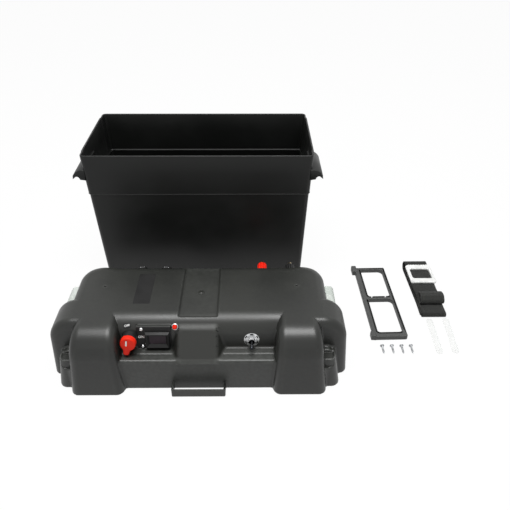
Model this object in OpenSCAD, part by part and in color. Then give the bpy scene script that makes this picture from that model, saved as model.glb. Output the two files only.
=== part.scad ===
// A moulded battery case with its power-outlet lid taken off, the spacer
// frame, the tie-down strap, the floor screws and the clear strips beside it.
// Millimetres, +Z up. Origin: centre of the case's base. The lid stands in
// front of the case (-Y) and the small pieces lie at its right (+X).

/* [Case] */
// Length of the case at the rim
case_l = 410; // [360:1:480]
// Width of the case at the rim
case_w = 194; // [180:1:240]
// Height of the case
case_h = 276; // [200:1:340]
// Wall of the case and of the lid
wall = 3; // [2.4:0.1:4]
// Draft of the end walls, in degrees
end_draft = 2.1; // [0.5:0.1:3]
// Draft of the long walls, in degrees
side_draft = 1.0; // [0.5:0.1:3]
// Height of the wider band below the rim
band_h = 78; // [50:1:110]
// How far the band stands out from the wall below it
band_step = 1.2; // [0.6:0.1:2]
// How far each end wall's middle panel stands out
end_panel_out = 1.4; // [0.4:0.1:1.6]
// Length of each end wall's middle panel
end_panel_l = 150; // [80:1:165]
// Thickness of the case's floor
floor_t = 4; // [3:0.1:8]

/* [End lugs] */
// How far the lug on each end wall stands out
lug_out = 21; // [10:1:26]
// Length of the lug along the wall
lug_l = 80; // [40:1:90]
// Height of the lug
lug_h = 21; // [14:1:28]
// Depth of the lug's top edge below the rim
lug_drop = 28; // [22:1:48]

/* [Lid] */
// Clearance between the lid's skirt and the rim, each side
lid_clear = 2; // [1.6:0.1:4]
// Height of the whole lid
lid_h = 113; // [100:1:130]
// Height of the control panel above the shelf
panel_h = 52; // [48:1:60]
// Radius of the round-over at the lid's top edge
lid_r = 25; // [15:1:30]
// Depth of the shelf in front of the control panel
front_shelf = 29; // [20:1:34]
// Depth of the shelf behind the rear panel
rear_shelf = 13; // [8:1:18]
// Lean of the control panel, in degrees
panel_lean = 7; // [0:0.5:10]
// Lean of the rear panel, in degrees
rear_lean = 4; // [0:0.5:8]
// Gap on the floor between the case's front and the lid's rear
lid_gap = 75; // [62:1:140]

/* [Lid buttresses] */
// Distance from the lid's middle to a front buttress's inner side
butt_in = 121; // [115:1:130]
// Distance from the lid's middle to a front buttress's outer side
butt_out = 205; // [190:1:206]
// How far a front buttress stands out from the skirt
butt_front = 15; // [6:1:22]
// Drop of a front buttress's top below the lid's top
butt_drop = 4; // [2:1:20]
// How far an end buttress stands out from the skirt
butt_side = 33; // [22:1:40]
// Drop of an end buttress's top below the lid's top
side_butt_drop = 13; // [9:1:26]
// Radius of the shoulder of every buttress
butt_r = 38; // [20:1:42]

/* [Corner lobes] */
// How far a front corner lobe stands out from the skirt at its foot
lobe_out = 18; // [8:1:20]
// How far it stands out at its top
lobe_top_out = 8; // [2:1:12]
// Length of a corner lobe along the skirt
lobe_l = 76; // [50:1:90]

/* [Strap path] */
// Width of the webbing
strap_w = 45; // [38:1:50]
// Width of the channel across the lid's top
channel_w = 61; // [54:1:66]
// Depth of that channel
channel_d = 2.4; // [1:0.1:3]
// Depth of the strap bracket at the foot of the skirt
bracket_d = 18; // [12:1:22]
// Height of the strap bracket
bracket_h = 16; // [10:1:24]

/* [Controls] */
// Diameter of the battery switch's key
key_d = 25; // [20:0.5:26]
// Reach of the key's tab from its axis
key_reach = 21.5; // [16:0.5:23]
// Diameter of the key's stem
key_stem_d = 12; // [8:0.5:14]
// Width of the voltmeter's bezel
meter_w = 40; // [34:1:42]
// Height of the voltmeter's bezel
meter_h = 30; // [24:1:32]
// Diameter of the reset button's ring
reset_d = 11; // [9:0.5:14]
// Travel of the reset button
reset_travel = 2.5; // [1:0.1:3]
// Diameter of the toggle switch's index plate
toggle_plate_d = 25; // [20:1:26]
// Travel of the toggle lever, in degrees
toggle_swing = 26; // [16:1:28]

/* [Rear outlets] */
// Bore diameter of an accessory socket
socket_bore_d = 21.1; // [20.5:0.1:22]
// Depth of an accessory socket's bore
socket_depth = 34; // [28:1:42]
// Diameter of a terminal stud
stud_d = 8; // [6:0.5:10]
// Diameter of a terminal's knob
post_knob_d = 17; // [14:0.5:20]

/* [Loose pieces] */
// Length of the spacer frame
frame_l = 200; // [160:1:230]
// Width of the spacer frame
frame_w = 61; // [50:1:70]
// Thickness of the spacer frame
frame_t = 9; // [5:0.5:14]
// Length of a floor screw
screw_l = 20; // [16:1:25]
// Length of a clear strip
strip_l = 87; // [70:1:100]
// Width of a clear strip
strip_w = 11; // [8:0.5:14]

/* [Hidden] */
$fn = 72;

eps = 0.01;
run_clear = 0.06;
corner_steps = 6;
body_clear = 0.3;

// Case
case_r = 8;
base_l = case_l - 2 * case_h * tan(end_draft) - 2 * band_step;
base_w = case_w - 2 * case_h * tan(side_draft) - 2 * band_step;
band_z = case_h - band_h;
wall_x = function(z, step) case_l / 2 - (case_h - z) * tan(end_draft) - step;
wall_y = function(z, step) case_w / 2 - (case_h - z) * tan(side_draft) - step;
lug_top = case_h - lug_drop;
rib_h = 2.4;
rib_t = 3;

// Lid, in its own frame: middle of the skirt's foot
lid_inner_l = case_l + 2 * lid_clear;
lid_inner_w = case_w + 2 * lid_clear;
skirt_h = lid_h - panel_h;
lid_l = lid_inner_l + 2 * wall;
lid_w = lid_inner_w + 2 * wall;
lid_x = 10;
lid_y = -case_w / 2 - lid_gap - lid_w / 2;
skirt_r = 14;
upper_r = 40;
upper_l = lid_l - 2;
front_y = lid_w / 2 - front_shelf;
rear_y = lid_w / 2 - rear_shelf;
butt_h = lid_h - butt_drop;
side_butt_h = lid_h - side_butt_drop;
butt_lean = 4;
butt_edge = 13;
side_butt_front = lid_w / 2 - 30;
side_butt_rear = 6;
pocket_d = 1.5;
pocket_r = 8;
pocket_l = 20;
scoop_d = 3;
scoop_drop = 10;
block_foot = 31;
block_root = 41.5;
block_top = 28;
block_z = lid_h - 12.5;
bracket_w = 86;
bracket_t = 3;
vent_x = 161;
vent_y = 21;
vent_d = 4;
pad_size = [28, 78];
pad_at = [-94, 15];
pad_d = 0.4;

// Controls, from the lid's middle and height above its foot
key_at = [-107, skirt_h + 24];
key_standoff = 12;
key_t = 9;
bush_d = 24;
bush_h = 11;
plate_x = [-96, -42];
plate_z = [skirt_h + 1, skirt_h + 43.5];
plate_t = 1.6;
plate_screw_x = -88;
plate_screw_z = [skirt_h + 6, skirt_h + 39];
meter_at = [-63.5, skirt_h + 19.6];
meter_t = 6;
window_size = [26.5, 15.5];
meter_depth = 17;
toggle_box = [16, 28, 20];
reset_x = -35.5;
reset_tilt = 33;
button_d = 5.3;
button_root = 14;
button_l = button_root + reset_travel + 2;
breaker_d = reset_d - 3;
breaker_rear = 17;
ring_sink = 0.6;
breaker_box = [14, 20, 17];
toggle_at = [85, skirt_h + 17.5];
switch_body_d = 34;
switch_body_l = 26;
switch_stud_gap = 18;

// Rear outlets
socket_x = [-112, -68.5];
socket_z = skirt_h + 20;
flange_d = 34;
flange_t = 5;
cap_t = 6;
cap_pin_d = 2;
cap_pin_y = 15.4;
post_x = [104.5, 156];
post_z = [skirt_h + 22, skirt_h + 19];
post_base_d = 21;
post_base_t = 4;
rear_boss = 3.2;
post_knob_l = 24;

// Side lamps
lamp_l = 47;
lamp_h = 30.5;
lamp_out = 19;
lamp_y = 22;
lamp_top = lid_h - 21;
lamp_screw_in = 4.6;
lens_t = 2;

// Loose pieces
frame_at = [340.8, -169.5];
frame_turn = 1.3;
window_l = [73, 77.5];
window_w = 43;
// Lugs of the spacer frame: start in x from its edge, start in y, size in x, size in y
frame_lugs = [[-6, frame_l / 2 - 14, 9.5, 23], [-4.5, -frame_l / 2, 8.5, 13]];
screw_x = [324, 341, 358, 374.5];
screw_y = -286.5;
screw_head_d = 7.4;
screw_d = 3.8;
strip_at = [[424, -260, 1.9], [453.5, -258.6, 3.9]];
strip_t = 1.6;
strap_t = 1.5;
strap_mid = 434;
buckle_size = [50, 56];
buckle_side = 6;
buckle_end = 13;
buckle_t = 4.5;
buckle_y = -107;
tooth_gap = 3.7;
// Runs of the folded webbing: start in y, end in y and height of its middle
strap_runs = [
    [-190, -90, 5.05],
    [-90, -200, 2.9],
    [-200, -84, 7.2],
    [-84, -208, 9.35],
    [-208, -70, 0.75],
    [-70, -183, 18],
    [-183, -95, 11.6]
];

// ---------- shared shapes ----------

module rounded_rect(l, w, r) {
    square([l - 2 * r, w], center = true);
    square([l, w - 2 * r], center = true);
    for (sx = [-1, 1])
        for (sy = [-1, 1])
            translate([sx * (l / 2 - r), sy * (w / 2 - r)]) circle(r);
}

// Outline of a rounded rectangle at one height, from the same number of points
// whatever its size, so that two of them can be joined by flat sides
function rounded_ring(l, w, r, z) = [
    for (c = [[1, 1, 0], [-1, 1, 90], [-1, -1, 180], [1, -1, 270]])
        for (k = [0 : corner_steps])
            let(a = c[2] + 90 * k / corner_steps)
                [c[0] * (l / 2 - r) + r * cos(a), c[1] * (w / 2 - r) + r * sin(a), z]
];

// A box with rounded corners whose foot and top have sizes of their own
module drafted_box(foot, top, h, r) {
    n = 4 * (corner_steps + 1);
    polyhedron(
        points = concat(rounded_ring(foot.x, foot.y, r, 0), rounded_ring(top.x, top.y, r, h)),
        faces = concat(
            [[for (k = [0 : n - 1]) k], [for (k = [n - 1 : -1 : 0]) n + k]],
            [for (k = [0 : n - 1]) [(k + 1) % n, k, n + k, n + (k + 1) % n]]));
}

// Half of a moulded profile: a leaning face that runs into a round shoulder.
// x is the distance out, y the height. The shoulder is an arc of short chords.
module shoulder_profile(out, h, lean, r, steps = 9) {
    cx = out - (r + (h - r) * sin(lean)) / cos(lean);
    polygon(concat(
        [[-1, 0], [out, 0]],
        [for (k = [0 : steps]) let(a = lean + (90 - lean) * k / steps)
            [cx + r * cos(a), h - r + r * sin(a)]],
        [[-1, h]]));
}

// Profile in Y and Z carried along X, centred
module along_x(l) {
    rotate([90, 0, 90]) linear_extrude(height = l, center = true) children();
}

// Profile in X and Z carried along Y, centred
module along_y(l) {
    rotate([90, 0, 0]) linear_extrude(height = l, center = true) children();
}

module in_lid() {
    translate([lid_x, lid_y, 0]) children();
}

// A point on the control panel: +Z outwards, +Y up the panel
module on_front(x, z) {
    in_lid() translate([x, -(front_y - (z - skirt_h) * tan(panel_lean)), z])
        rotate([90 - panel_lean, 0, 0]) children();
}

// A point on the rear panel: +Z outwards, +Y up the panel
module on_rear(x, z) {
    in_lid() translate([x, rear_y - (z - skirt_h) * tan(rear_lean), z])
        rotate([90 - rear_lean, 0, 180]) children();
}

// A point on the round-over in front: +Z outwards
module on_round(x, tilt) {
    cy = front_y - (lid_r + (lid_h - lid_r - skirt_h) * sin(panel_lean)) / cos(panel_lean);
    in_lid() translate([x, -(cy + lid_r * cos(tilt)), lid_h - lid_r + lid_r * sin(tilt)])
        rotate([90 - tilt, 0, 0]) children();
}

module ring(outer_d, inner_d, h) {
    difference() {
        cylinder(d = outer_d, h = h);
        translate([0, 0, -eps]) cylinder(d = inner_d, h = h + 2 * eps);
    }
}

module hex_nut(across, bore_d, h) {
    difference() {
        cylinder(d = across / cos(30), h = h, $fn = 6);
        translate([0, 0, -eps]) cylinder(d = bore_d, h = h + 2 * eps);
    }
}

// A flat quick-connect tab that stands out to the rear
module blade_tab() {
    translate([0, 0, -4]) cube([6.3, 0.8, 8], center = true);
}

// ---------- case ----------

// Lower walls run a little way up into the wider band
module case_solid(inset, z0, z1) {
    for (part = [[z0, band_z + 1, band_step], [band_z, z1, 0]])
        translate([0, 0, part[0]]) drafted_box(
            [2 * (wall_x(part[0], part[2]) - inset), 2 * (wall_y(part[0], part[2]) - inset)],
            [2 * (wall_x(part[1], part[2]) - inset), 2 * (wall_y(part[1], part[2]) - inset)],
            part[1] - part[0], case_r - inset);
}

module end_panels(inset, z0, z1) {
    translate([0, 0, z0]) linear_extrude(height = z1 - z0)
        square([2 * (case_l / 2 + end_panel_out - inset), end_panel_l - 2 * inset], center = true);
}

module end_lug() {
    translate([case_l / 2 - lug_out, -wall_y(lug_top, 0) + lug_l / 2 + 1, lug_top - lug_h])
        along_y(lug_l) intersection() {
            difference() {
                polygon([[0, 0], [lug_out - 1, 0], [2 * lug_out, lug_h * 0.42],
                         [2 * lug_out, lug_h], [0, lug_h]]);
                translate([lug_out + lug_h * 0.62, 0]) circle(lug_h * 0.36);
            }
            union() {
                translate([lug_out, 0]) circle(lug_h);
                square([lug_out, lug_h]);
            }
        }
}

module case_shell() color("#1b1c1d") {
    difference() {
        union() {
            case_solid(0, 0, case_h);
            end_panels(0, band_z, case_h);
            for (side = [0, 1]) mirror([side, 0, 0]) end_lug();
        }
        case_solid(wall, floor_t, case_h + 1);
        end_panels(wall, band_z + wall, case_h + 1);
    }
    for (x = [-1.5, -0.5, 0.5, 1.5])
        translate([x * base_l / 5 - rib_t / 2, -base_w / 2 + wall, floor_t - eps])
            cube([rib_t, base_w - 2 * wall, rib_h]);
}

// ---------- lid ----------

module upper_body(inset) {
    h = lid_h - inset;
    r = lid_r - inset;
    intersection() {
        along_x(lid_l) {
            mirror([1, 0]) shift_profile(front_y - inset, h, panel_lean, r);
            shift_profile(rear_y - inset, h, rear_lean, r);
        }
        along_y(lid_w) {
            shoulder_profile(upper_l / 2 - inset, h, 1, r);
            mirror([1, 0]) shoulder_profile(upper_l / 2 - inset, h, 1, r);
        }
        translate([0, (rear_y - front_y) / 2, 0]) linear_extrude(height = lid_h)
            rounded_rect(upper_l - 2 * inset, front_y + rear_y - 2 * inset + 14, upper_r - inset);
    }
}

// A leaning face is measured at the shelf, so its foot lies further out
module shift_profile(out, h, lean, r) {
    shoulder_profile(out + skirt_h * tan(lean), h, lean, r);
}

module front_buttress(inset) {
    mid = (butt_in + butt_out) / 2;
    w = butt_out - butt_in - 2 * inset;
    out = lid_w / 2 + butt_front - inset;
    h = butt_h - inset;
    intersection() {
        translate([mid, 0, 0]) along_x(w + 1) mirror([1, 0])
            shoulder_profile(out, h, butt_lean, butt_r - inset);
        translate([mid, 0, 0]) along_y(2 * out + 1) {
            shoulder_profile(w / 2, h, 6, butt_edge, 5);
            mirror([1, 0]) shoulder_profile(w / 2, h, 0, butt_edge, 5);
        }
        translate([mid, -out / 2 - 5, 0]) linear_extrude(height = h)
            rounded_rect(w, out - 10, butt_edge);
    }
}

module side_buttress(inset) {
    out = lid_l / 2 + butt_side - inset;
    l = side_butt_front + side_butt_rear;
    w = l - 2 * inset - 6;
    h = side_butt_h - inset;
    mid = (side_butt_rear - side_butt_front) / 2 - 3;
    intersection() {
        translate([0, mid, 0]) along_y(w + 1) shoulder_profile(out, h, butt_lean, butt_r - inset);
        translate([0, mid, 0]) along_x(2 * out + 1) {
            shoulder_profile(w / 2, h, 2, butt_edge, 5);
            mirror([1, 0]) shoulder_profile(w / 2, h, 2, butt_edge, 5);
        }
        translate([out / 2 + 50, mid, 0]) linear_extrude(height = h)
            rounded_rect(out - 100, w, butt_edge);
    }
}

// Low lobe at each front corner, wider at its foot than at its top
module corner_lobe(inset, h) {
    in_x = lid_l / 2 - 10;
    translate([in_x, -lid_w / 2 + lobe_l / 2 + 2, 0]) drafted_box(
        [2 * (lobe_out + 10 - inset), lobe_l - 2 * inset],
        [2 * (lobe_top_out + 10 - inset), lobe_l - 4 - 2 * inset], h, skirt_r - inset);
}

// Finger pocket in a lobe's front top edge: a flat ledge and a scoop below it,
// grown by the given amount where the inside has to keep clear of it
module finger_pocket(grow) {
    r = pocket_r + grow;
    translate([lid_l / 2 - 3, -lid_w / 2 + 2, skirt_h]) {
        translate([-r, -eps - 2, -pocket_d - grow]) cube([2 * r, pocket_l + grow, 2 * pocket_d + grow]);
        translate([0, scoop_d + grow, 0]) rotate([90, 0, 0]) linear_extrude(height = scoop_d + grow + 2) {
            translate([0, -scoop_drop]) circle(r);
            translate([-r, -scoop_drop]) square([2 * r, scoop_drop + 2 * pocket_d]);
        }
    }
}

// Sloping block that carries the strap from the top down to the shelf
module strap_block(inset) {
    foot_y = lid_w / 2 - inset;
    root_y = front_y - 2 * inset - 2;
    top_y = front_y - 6.8 - inset;
    polyhedron(
        points = [
            [-block_foot + inset, -foot_y, skirt_h - inset - eps],
            [block_foot - inset, -foot_y, skirt_h - inset - eps],
            [block_root - inset, -root_y, skirt_h - inset - eps],
            [-block_root + inset, -root_y, skirt_h - inset - eps],
            [-block_top + inset, -top_y, block_z - inset],
            [block_top - inset, -top_y, block_z - inset],
            [block_top - inset, -root_y + 20, block_z - inset],
            [-block_top + inset, -root_y + 20, block_z - inset],
            [block_root - inset, -root_y + 20, skirt_h - inset - eps],
            [-block_root + inset, -root_y + 20, skirt_h - inset - eps]
        ],
        faces = [
            [0, 1, 2, 8, 9, 3], [0, 4, 5, 1], [1, 5, 2], [2, 5, 6, 8],
            [8, 6, 7, 9], [9, 7, 4, 3], [3, 4, 0], [4, 7, 6, 5]
        ]);
}

module strap_bracket() {
    translate([0, -lid_w / 2 - bracket_d / 2, 0]) linear_extrude(height = bracket_h)
        difference() {
            translate([0, 1]) square([bracket_w, bracket_d + 2], center = true);
            translate([0, 2]) square([bracket_w - 2 * bracket_t, bracket_d - 2 * bracket_t + 4], center = true);
        }
}

// Flat seats that the plate and the outlets bear on
module front_seat() {
    on_front((plate_x[0] + plate_x[1]) / 2, (plate_z[0] + plate_z[1]) / 2)
        translate([0, 0, -5]) linear_extrude(height = 5)
            square([plate_x[1] - plate_x[0], plate_z[1] - plate_z[0]], center = true);
}

module rear_seats() {
    for (x = socket_x) on_rear(x, socket_z) translate([0, 0, -6]) cylinder(d = flange_d, h = 6);
    for (i = [0, 1]) on_rear(post_x[i], post_z[i]) translate([0, 0, -6]) cylinder(d = post_base_d + 2, h = 6);
}

module lid_holes() {
    on_front(key_at[0], key_at[1]) translate([0, 0, -20]) cylinder(d = bush_d - 8, h = 40);
    on_front(meter_at[0], meter_at[1]) cube([meter_w - 6, meter_h - 6, 40], center = true);
    on_front(toggle_at[0], toggle_at[1]) translate([0, 0, -20]) cylinder(d = 12.2, h = 40);
    on_round(reset_x, reset_tilt) {
        translate([0, 0, -20]) cylinder(d = breaker_d + 0.4, h = 40);
        translate([0, 0, -ring_sink]) cylinder(d = reset_d + 1, h = 10);
    }
    for (x = plate_screw_z) on_front(plate_screw_x, x) translate([0, 0, -8]) cylinder(d = 3, h = 12);
    for (x = socket_x) on_rear(x, socket_z) translate([0, 0, -20]) cylinder(d = socket_bore_d + 5.4, h = 40);
    for (i = [0, 1]) on_rear(post_x[i], post_z[i]) translate([0, 0, -20]) cylinder(d = stud_d + 0.6, h = 40);
    in_lid() {
        for (sx = [-1, 1])
            translate([sx * vent_x, vent_y, lid_h - 3 * wall]) cylinder(d = vent_d, h = 4 * wall);
        for (sx = [-1, 1])
            for (dy = [-1, 1])
                translate([sx * upper_l / 2, lamp_y + dy * (lamp_l / 2 - lamp_screw_in), lamp_top - lamp_h / 2])
                    rotate([0, 90, 0]) cylinder(d = 3, h = 20, center = true);
    }
}

module lid_outer() {
    linear_extrude(height = skirt_h) rounded_rect(lid_l, lid_w, skirt_r);
    upper_body(0);
    for (side = [0, 1]) mirror([side, 0, 0]) {
        front_buttress(0);
        side_buttress(0);
        corner_lobe(0, skirt_h);
    }
    strap_block(0);
}

module lid_cavity() {
    difference() {
        union() {
            translate([0, 0, -1]) linear_extrude(height = skirt_h - wall + 1)
                rounded_rect(lid_inner_l, lid_inner_w, skirt_r - wall);
            upper_body(wall);
            for (side = [0, 1]) mirror([side, 0, 0]) {
                front_buttress(wall);
                side_buttress(wall);
                corner_lobe(wall, skirt_h - wall);
            }
        }
        translate([0, 0, lid_h - wall]) cube([channel_w + 2 * wall, 2 * lid_w, 2 * channel_d], center = true);
        for (side = [0, 1]) mirror([side, 0, 0]) finger_pocket(wall);
    }
    strap_block(wall);
}

module lid_shell() color("#3d3f3e") {
    difference() {
        union() {
            in_lid() difference() {
                lid_outer();
                lid_cavity();
                translate([0, lid_w / 2, lid_h]) cube([channel_w, lid_w + 2 * (front_y - 21), 2 * channel_d], center = true);
                translate([pad_at[0], pad_at[1], lid_h]) cube([pad_size[0], pad_size[1], 2 * pad_d], center = true);
                for (side = [0, 1]) mirror([side, 0, 0]) finger_pocket(0);
            }
            front_seat();
            rear_seats();
        }
        lid_holes();
    }
    in_lid() strap_bracket();
    in_lid() mirror([0, 1, 0]) strap_bracket();
}

// ---------- front controls ----------

module control_plate() color("#161617") {
    difference() {
        on_front((plate_x[0] + plate_x[1]) / 2, (plate_z[0] + plate_z[1]) / 2)
            linear_extrude(height = plate_t)
                rounded_rect(plate_x[1] - plate_x[0], (plate_z[1] - plate_z[0]), 2);
        on_front(key_at[0], key_at[1]) cylinder(d = bush_d + 0.4, h = 20, center = true);
        on_front(meter_at[0], meter_at[1]) cube([meter_w - 5.6, meter_h - 5.6, 20], center = true);
        for (z = plate_screw_z) on_front(plate_screw_x, z) cylinder(d = 3.2, h = 20, center = true);
    }
}

module plate_screws() color("silver") {
    for (z = plate_screw_z) on_front(plate_screw_x, z) {
        translate([0, 0, -6]) cylinder(d = 2.9, h = 6 + plate_t);
        translate([0, 0, plate_t]) intersection() {
            cylinder(d = 6.4, h = 2.2);
            translate([0, 0, -2.6]) sphere(d = 9.6);
        }
    }
}

module switch_bush() color("#1c1c1d") {
    on_front(key_at[0], key_at[1]) difference() {
        union() {
            cylinder(d = bush_d, h = bush_h);
            translate([0, 0, -wall - 2.5]) cylinder(d = bush_d - 8.4, h = wall + 2.6);
        }
        translate([0, 0, -20]) cylinder(d = key_stem_d + 2 * run_clear, h = 40);
    }
}

module switch_housing() color("#202022") {
    on_front(key_at[0], key_at[1]) translate([0, 0, -wall - 2.5 - switch_body_l]) {
        difference() {
            cylinder(d = switch_body_d - 6, h = switch_body_l);
            translate([0, 0, switch_body_l - 8]) cylinder(d = key_stem_d + 1, h = 9);
            for (dx = [-1, 1]) translate([dx * switch_stud_gap / 2, 0, -1]) cylinder(d = 6, h = 13);
        }
    }
}

module switch_studs() color("#b0783a") {
    on_front(key_at[0], key_at[1]) translate([0, 0, -wall - 2.5 - switch_body_l])
        for (dx = [-1, 1]) translate([dx * switch_stud_gap / 2, 0, -16]) cylinder(d = 6, h = 28);
}

module switch_nuts() color("silver") {
    on_front(key_at[0], key_at[1]) translate([0, 0, -wall - 2.5 - switch_body_l])
        for (dx = [-1, 1]) translate([dx * switch_stud_gap / 2, 0, -5]) {
            hex_nut(10, 6, 5);
        }
}

module switch_key() color("#e3311f") {
    on_front(key_at[0], key_at[1]) {
        translate([0, 0, key_standoff]) difference() {
            union() {
                cylinder(d = key_d, h = key_t - 2);
                cylinder(d1 = key_d, d2 = key_d - 3, h = key_t);
                translate([-4.5, -key_reach + 4.5, 0]) cube([9, key_reach - 4.5, key_t - 2]);
                translate([0, -key_reach + 4.5, 0]) cylinder(d = 9, h = key_t - 2);
            }
            translate([-0.8, -1, key_t - 0.6]) cube([1.6, 9, 2]);
        }
        translate([0, 0, -wall - 6]) cylinder(d = key_stem_d, h = key_standoff + wall + 6 + eps);
    }
}

module meter_bezel() color("#1a1a1b") {
    on_front(meter_at[0], meter_at[1]) translate([0, 0, plate_t]) difference() {
        union() {
            linear_extrude(height = 1.5) square([meter_w, meter_h], center = true);
            linear_extrude(height = meter_t, scale = [0.86, 0.8], slices = 1) square([meter_w, meter_h], center = true);
        }
        translate([0, 0, 1.2]) linear_extrude(height = 6, scale = [1.45, 1.7], slices = 1)
            square([window_size[0], window_size[1]], center = true);
        translate([0, 0, -1]) linear_extrude(height = 10) square([window_size[0], window_size[1]], center = true);
    }
}

module meter_window() color("#3a3138") {
    on_front(meter_at[0], meter_at[1]) translate([0, 0, plate_t]) linear_extrude(height = 1.2)
        square([window_size[0] - 0.4, window_size[1] - 0.4], center = true);
}

module meter_housing() color("#202022") {
    on_front(meter_at[0], meter_at[1]) translate([0, 0, plate_t - meter_depth])
        linear_extrude(height = meter_depth) square([meter_w - 6.6, meter_h - 6.6], center = true);
}

module meter_tabs() color("silver") {
    on_front(meter_at[0], meter_at[1]) for (dx = [-1, 1])
        translate([dx * 7, 0, plate_t - meter_depth]) rotate(90) blade_tab();
}

module breaker_ring() color("silver") {
    on_round(reset_x, reset_tilt) translate([0, 0, -ring_sink]) rotate_extrude()
        polygon([[reset_d / 2 - 1.9, 0], [reset_d / 2, 0], [reset_d / 2, 1.2],
                 [reset_d / 2 - 1, 2.4], [reset_d / 2 - 1.9, 2.4]]);
}

module breaker_body() color("#202022") {
    on_round(reset_x, reset_tilt) {
        translate([0, 0, -breaker_rear]) ring(breaker_d, button_d + 2 * body_clear, breaker_rear - ring_sink);
        translate([-breaker_box.x / 2, -breaker_box.y / 2, -breaker_rear - breaker_box.z]) difference() {
            cube(breaker_box);
            translate([breaker_box.x / 2, breaker_box.y / 2, breaker_box.z - 8])
                cylinder(d = button_d + 2 * body_clear, h = 9);
        }
    }
}

module breaker_nut() color("silver") {
    on_round(reset_x, reset_tilt) translate([0, 0, -wall - 4.4]) hex_nut(11, breaker_d, 2.4);
}

module breaker_tabs() color("silver") {
    on_round(reset_x, reset_tilt) for (dy = [-1, 1])
        translate([0, dy * 6, -breaker_rear - breaker_box.z]) blade_tab();
}

module reset_button() color("#e3311f") {
    on_round(reset_x, reset_tilt) translate([0, 0, -button_root]) {
        cylinder(d = button_d, h = button_l - 1);
        translate([0, 0, button_l - 1]) cylinder(d1 = button_d, d2 = button_d - 2, h = 1);
    }
}

module toggle_plate() color("silver") {
    on_front(toggle_at[0], toggle_at[1]) difference() {
        cylinder(d = toggle_plate_d, h = 1);
        translate([0, 0, -1]) cylinder(d = 12.2, h = 3);
        for (a = [30 : 60 : 330]) rotate(a) translate([toggle_plate_d / 2, 0, -1]) cylinder(d = 1.6, h = 3);
    }
}

module toggle_bush() color("silver") {
    on_front(toggle_at[0], toggle_at[1]) difference() {
        translate([0, 0, -wall - 2]) cylinder(d = 12, h = wall + 2 + 7);
        translate([0, 0, 0]) sphere(d = 7.2);
        cylinder(d1 = 3, d2 = 11, h = 7.4);
        translate([0, 0, -wall - 3]) cylinder(d1 = 8, d2 = 6, h = wall + 3);
    }
}

module toggle_nut() color("silver") {
    on_front(toggle_at[0], toggle_at[1]) translate([0, 0, 1]) hex_nut(14.5, 12, 2.6);
}

module toggle_body() color("#202022") {
    on_front(toggle_at[0], toggle_at[1]) difference() {
        translate([-toggle_box.x / 2, -toggle_box.y / 2, -wall - 2 - toggle_box.z]) cube(toggle_box);
        translate([-6, -10, -wall - 2 - 8]) cube([12, 20, 9]);
    }
}

module toggle_tabs() color("silver") {
    on_front(toggle_at[0], toggle_at[1]) for (dy = [-9, 0, 9])
        translate([0, dy, -wall - 2 - toggle_box.z]) blade_tab();
}

module toggle_lever() color("#8a8d8f") {
    on_front(toggle_at[0], toggle_at[1]) rotate([toggle_swing / 2, 0, 0]) {
        sphere(d = 6.6);
        cylinder(d1 = 3, d2 = 5.6, h = 17);
        translate([0, 0, 17]) sphere(d = 5.6);
        translate([0, 0, -7]) cylinder(d = 2.6, h = 7);
    }
}

// ---------- rear outlets ----------

module socket_shell(x) color("#19191a") {
    on_rear(x, socket_z) difference() {
        union() {
            cylinder(d = flange_d, h = flange_t);
            translate([0, 0, -socket_depth]) cylinder(d = socket_bore_d + 5, h = socket_depth + eps);
            for (dx = [-1, 1]) translate([dx * 5 - 1.5, cap_pin_y - 1.2, 0]) cube([3, 2.4, flange_t + 3.4]);
        }
        translate([0, 0, flange_t - socket_depth]) cylinder(d = socket_bore_d, h = socket_depth + 10);
        translate([0, 0, -socket_depth - 1]) cylinder(d = 6, h = 10);
        translate([-8, cap_pin_y, flange_t + 1.8]) rotate([0, 90, 0]) cylinder(d = cap_pin_d, h = 16);
    }
}

module socket_contacts() color("#c9a25a") {
    for (x = socket_x) on_rear(x, socket_z) {
        translate([0, 0, -socket_depth - 8]) cylinder(d = 6, h = 8 + flange_t);
        translate([0, 0, -socket_depth + flange_t]) cylinder(d1 = 6, d2 = 3, h = 2.4);
    }
}

module socket_nuts() color("#232324") {
    for (x = socket_x) on_rear(x, socket_z)
        translate([0, 0, -wall - 4.4 - rear_boss]) difference() {
            cylinder(d = 36, h = 4);
            translate([0, 0, -1]) cylinder(d = socket_bore_d + 5.06, h = 6);
            for (a = [0 : 30 : 330]) rotate(a) translate([18.4, 0, -1]) cylinder(d = 3.4, h = 6);
        }
}

module socket_cap_pins() color("silver") {
    for (x = socket_x) on_rear(x, socket_z)
        translate([-6.4, cap_pin_y, flange_t + 1.8]) rotate([0, 90, 0]) cylinder(d = cap_pin_d, h = 12.8);
}

module socket_cap(x) color("#1b1b1c") {
    on_rear(x, socket_z) difference() {
        union() {
            translate([0, 0, flange_t + body_clear]) cylinder(d = flange_d - 6, h = cap_t);
            translate([-3.1, 8, flange_t + body_clear]) cube([6.2, cap_pin_y - 8, 3.1]);
            translate([-3.1, cap_pin_y, flange_t + 1.8]) rotate([0, 90, 0])
                cylinder(d = cap_pin_d + 1.2, h = 6.2);
            translate([-5, -flange_d / 2 + 0.5, flange_t + 2]) cube([10, 6, 2.4]);
        }
        translate([-5, cap_pin_y, flange_t + 1.8]) rotate([0, 90, 0])
            cylinder(d = cap_pin_d + 2 * run_clear, h = 10);
    }
    on_rear(x, socket_z) translate([0, 0, flange_t - 3]) difference() {
        cylinder(d = socket_bore_d - 1.4, h = 3 + body_clear + eps);
        translate([0, 0, -1]) cylinder(d = socket_bore_d - 5, h = 4);
    }
}

module post_base(i) {
    on_rear(post_x[i], post_z[i]) ring(post_base_d, stud_d, post_base_t);
}

module post_base_red() color("#c22a20") post_base(0);
module post_base_black() color("#1c1c1d") post_base(1);

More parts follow.
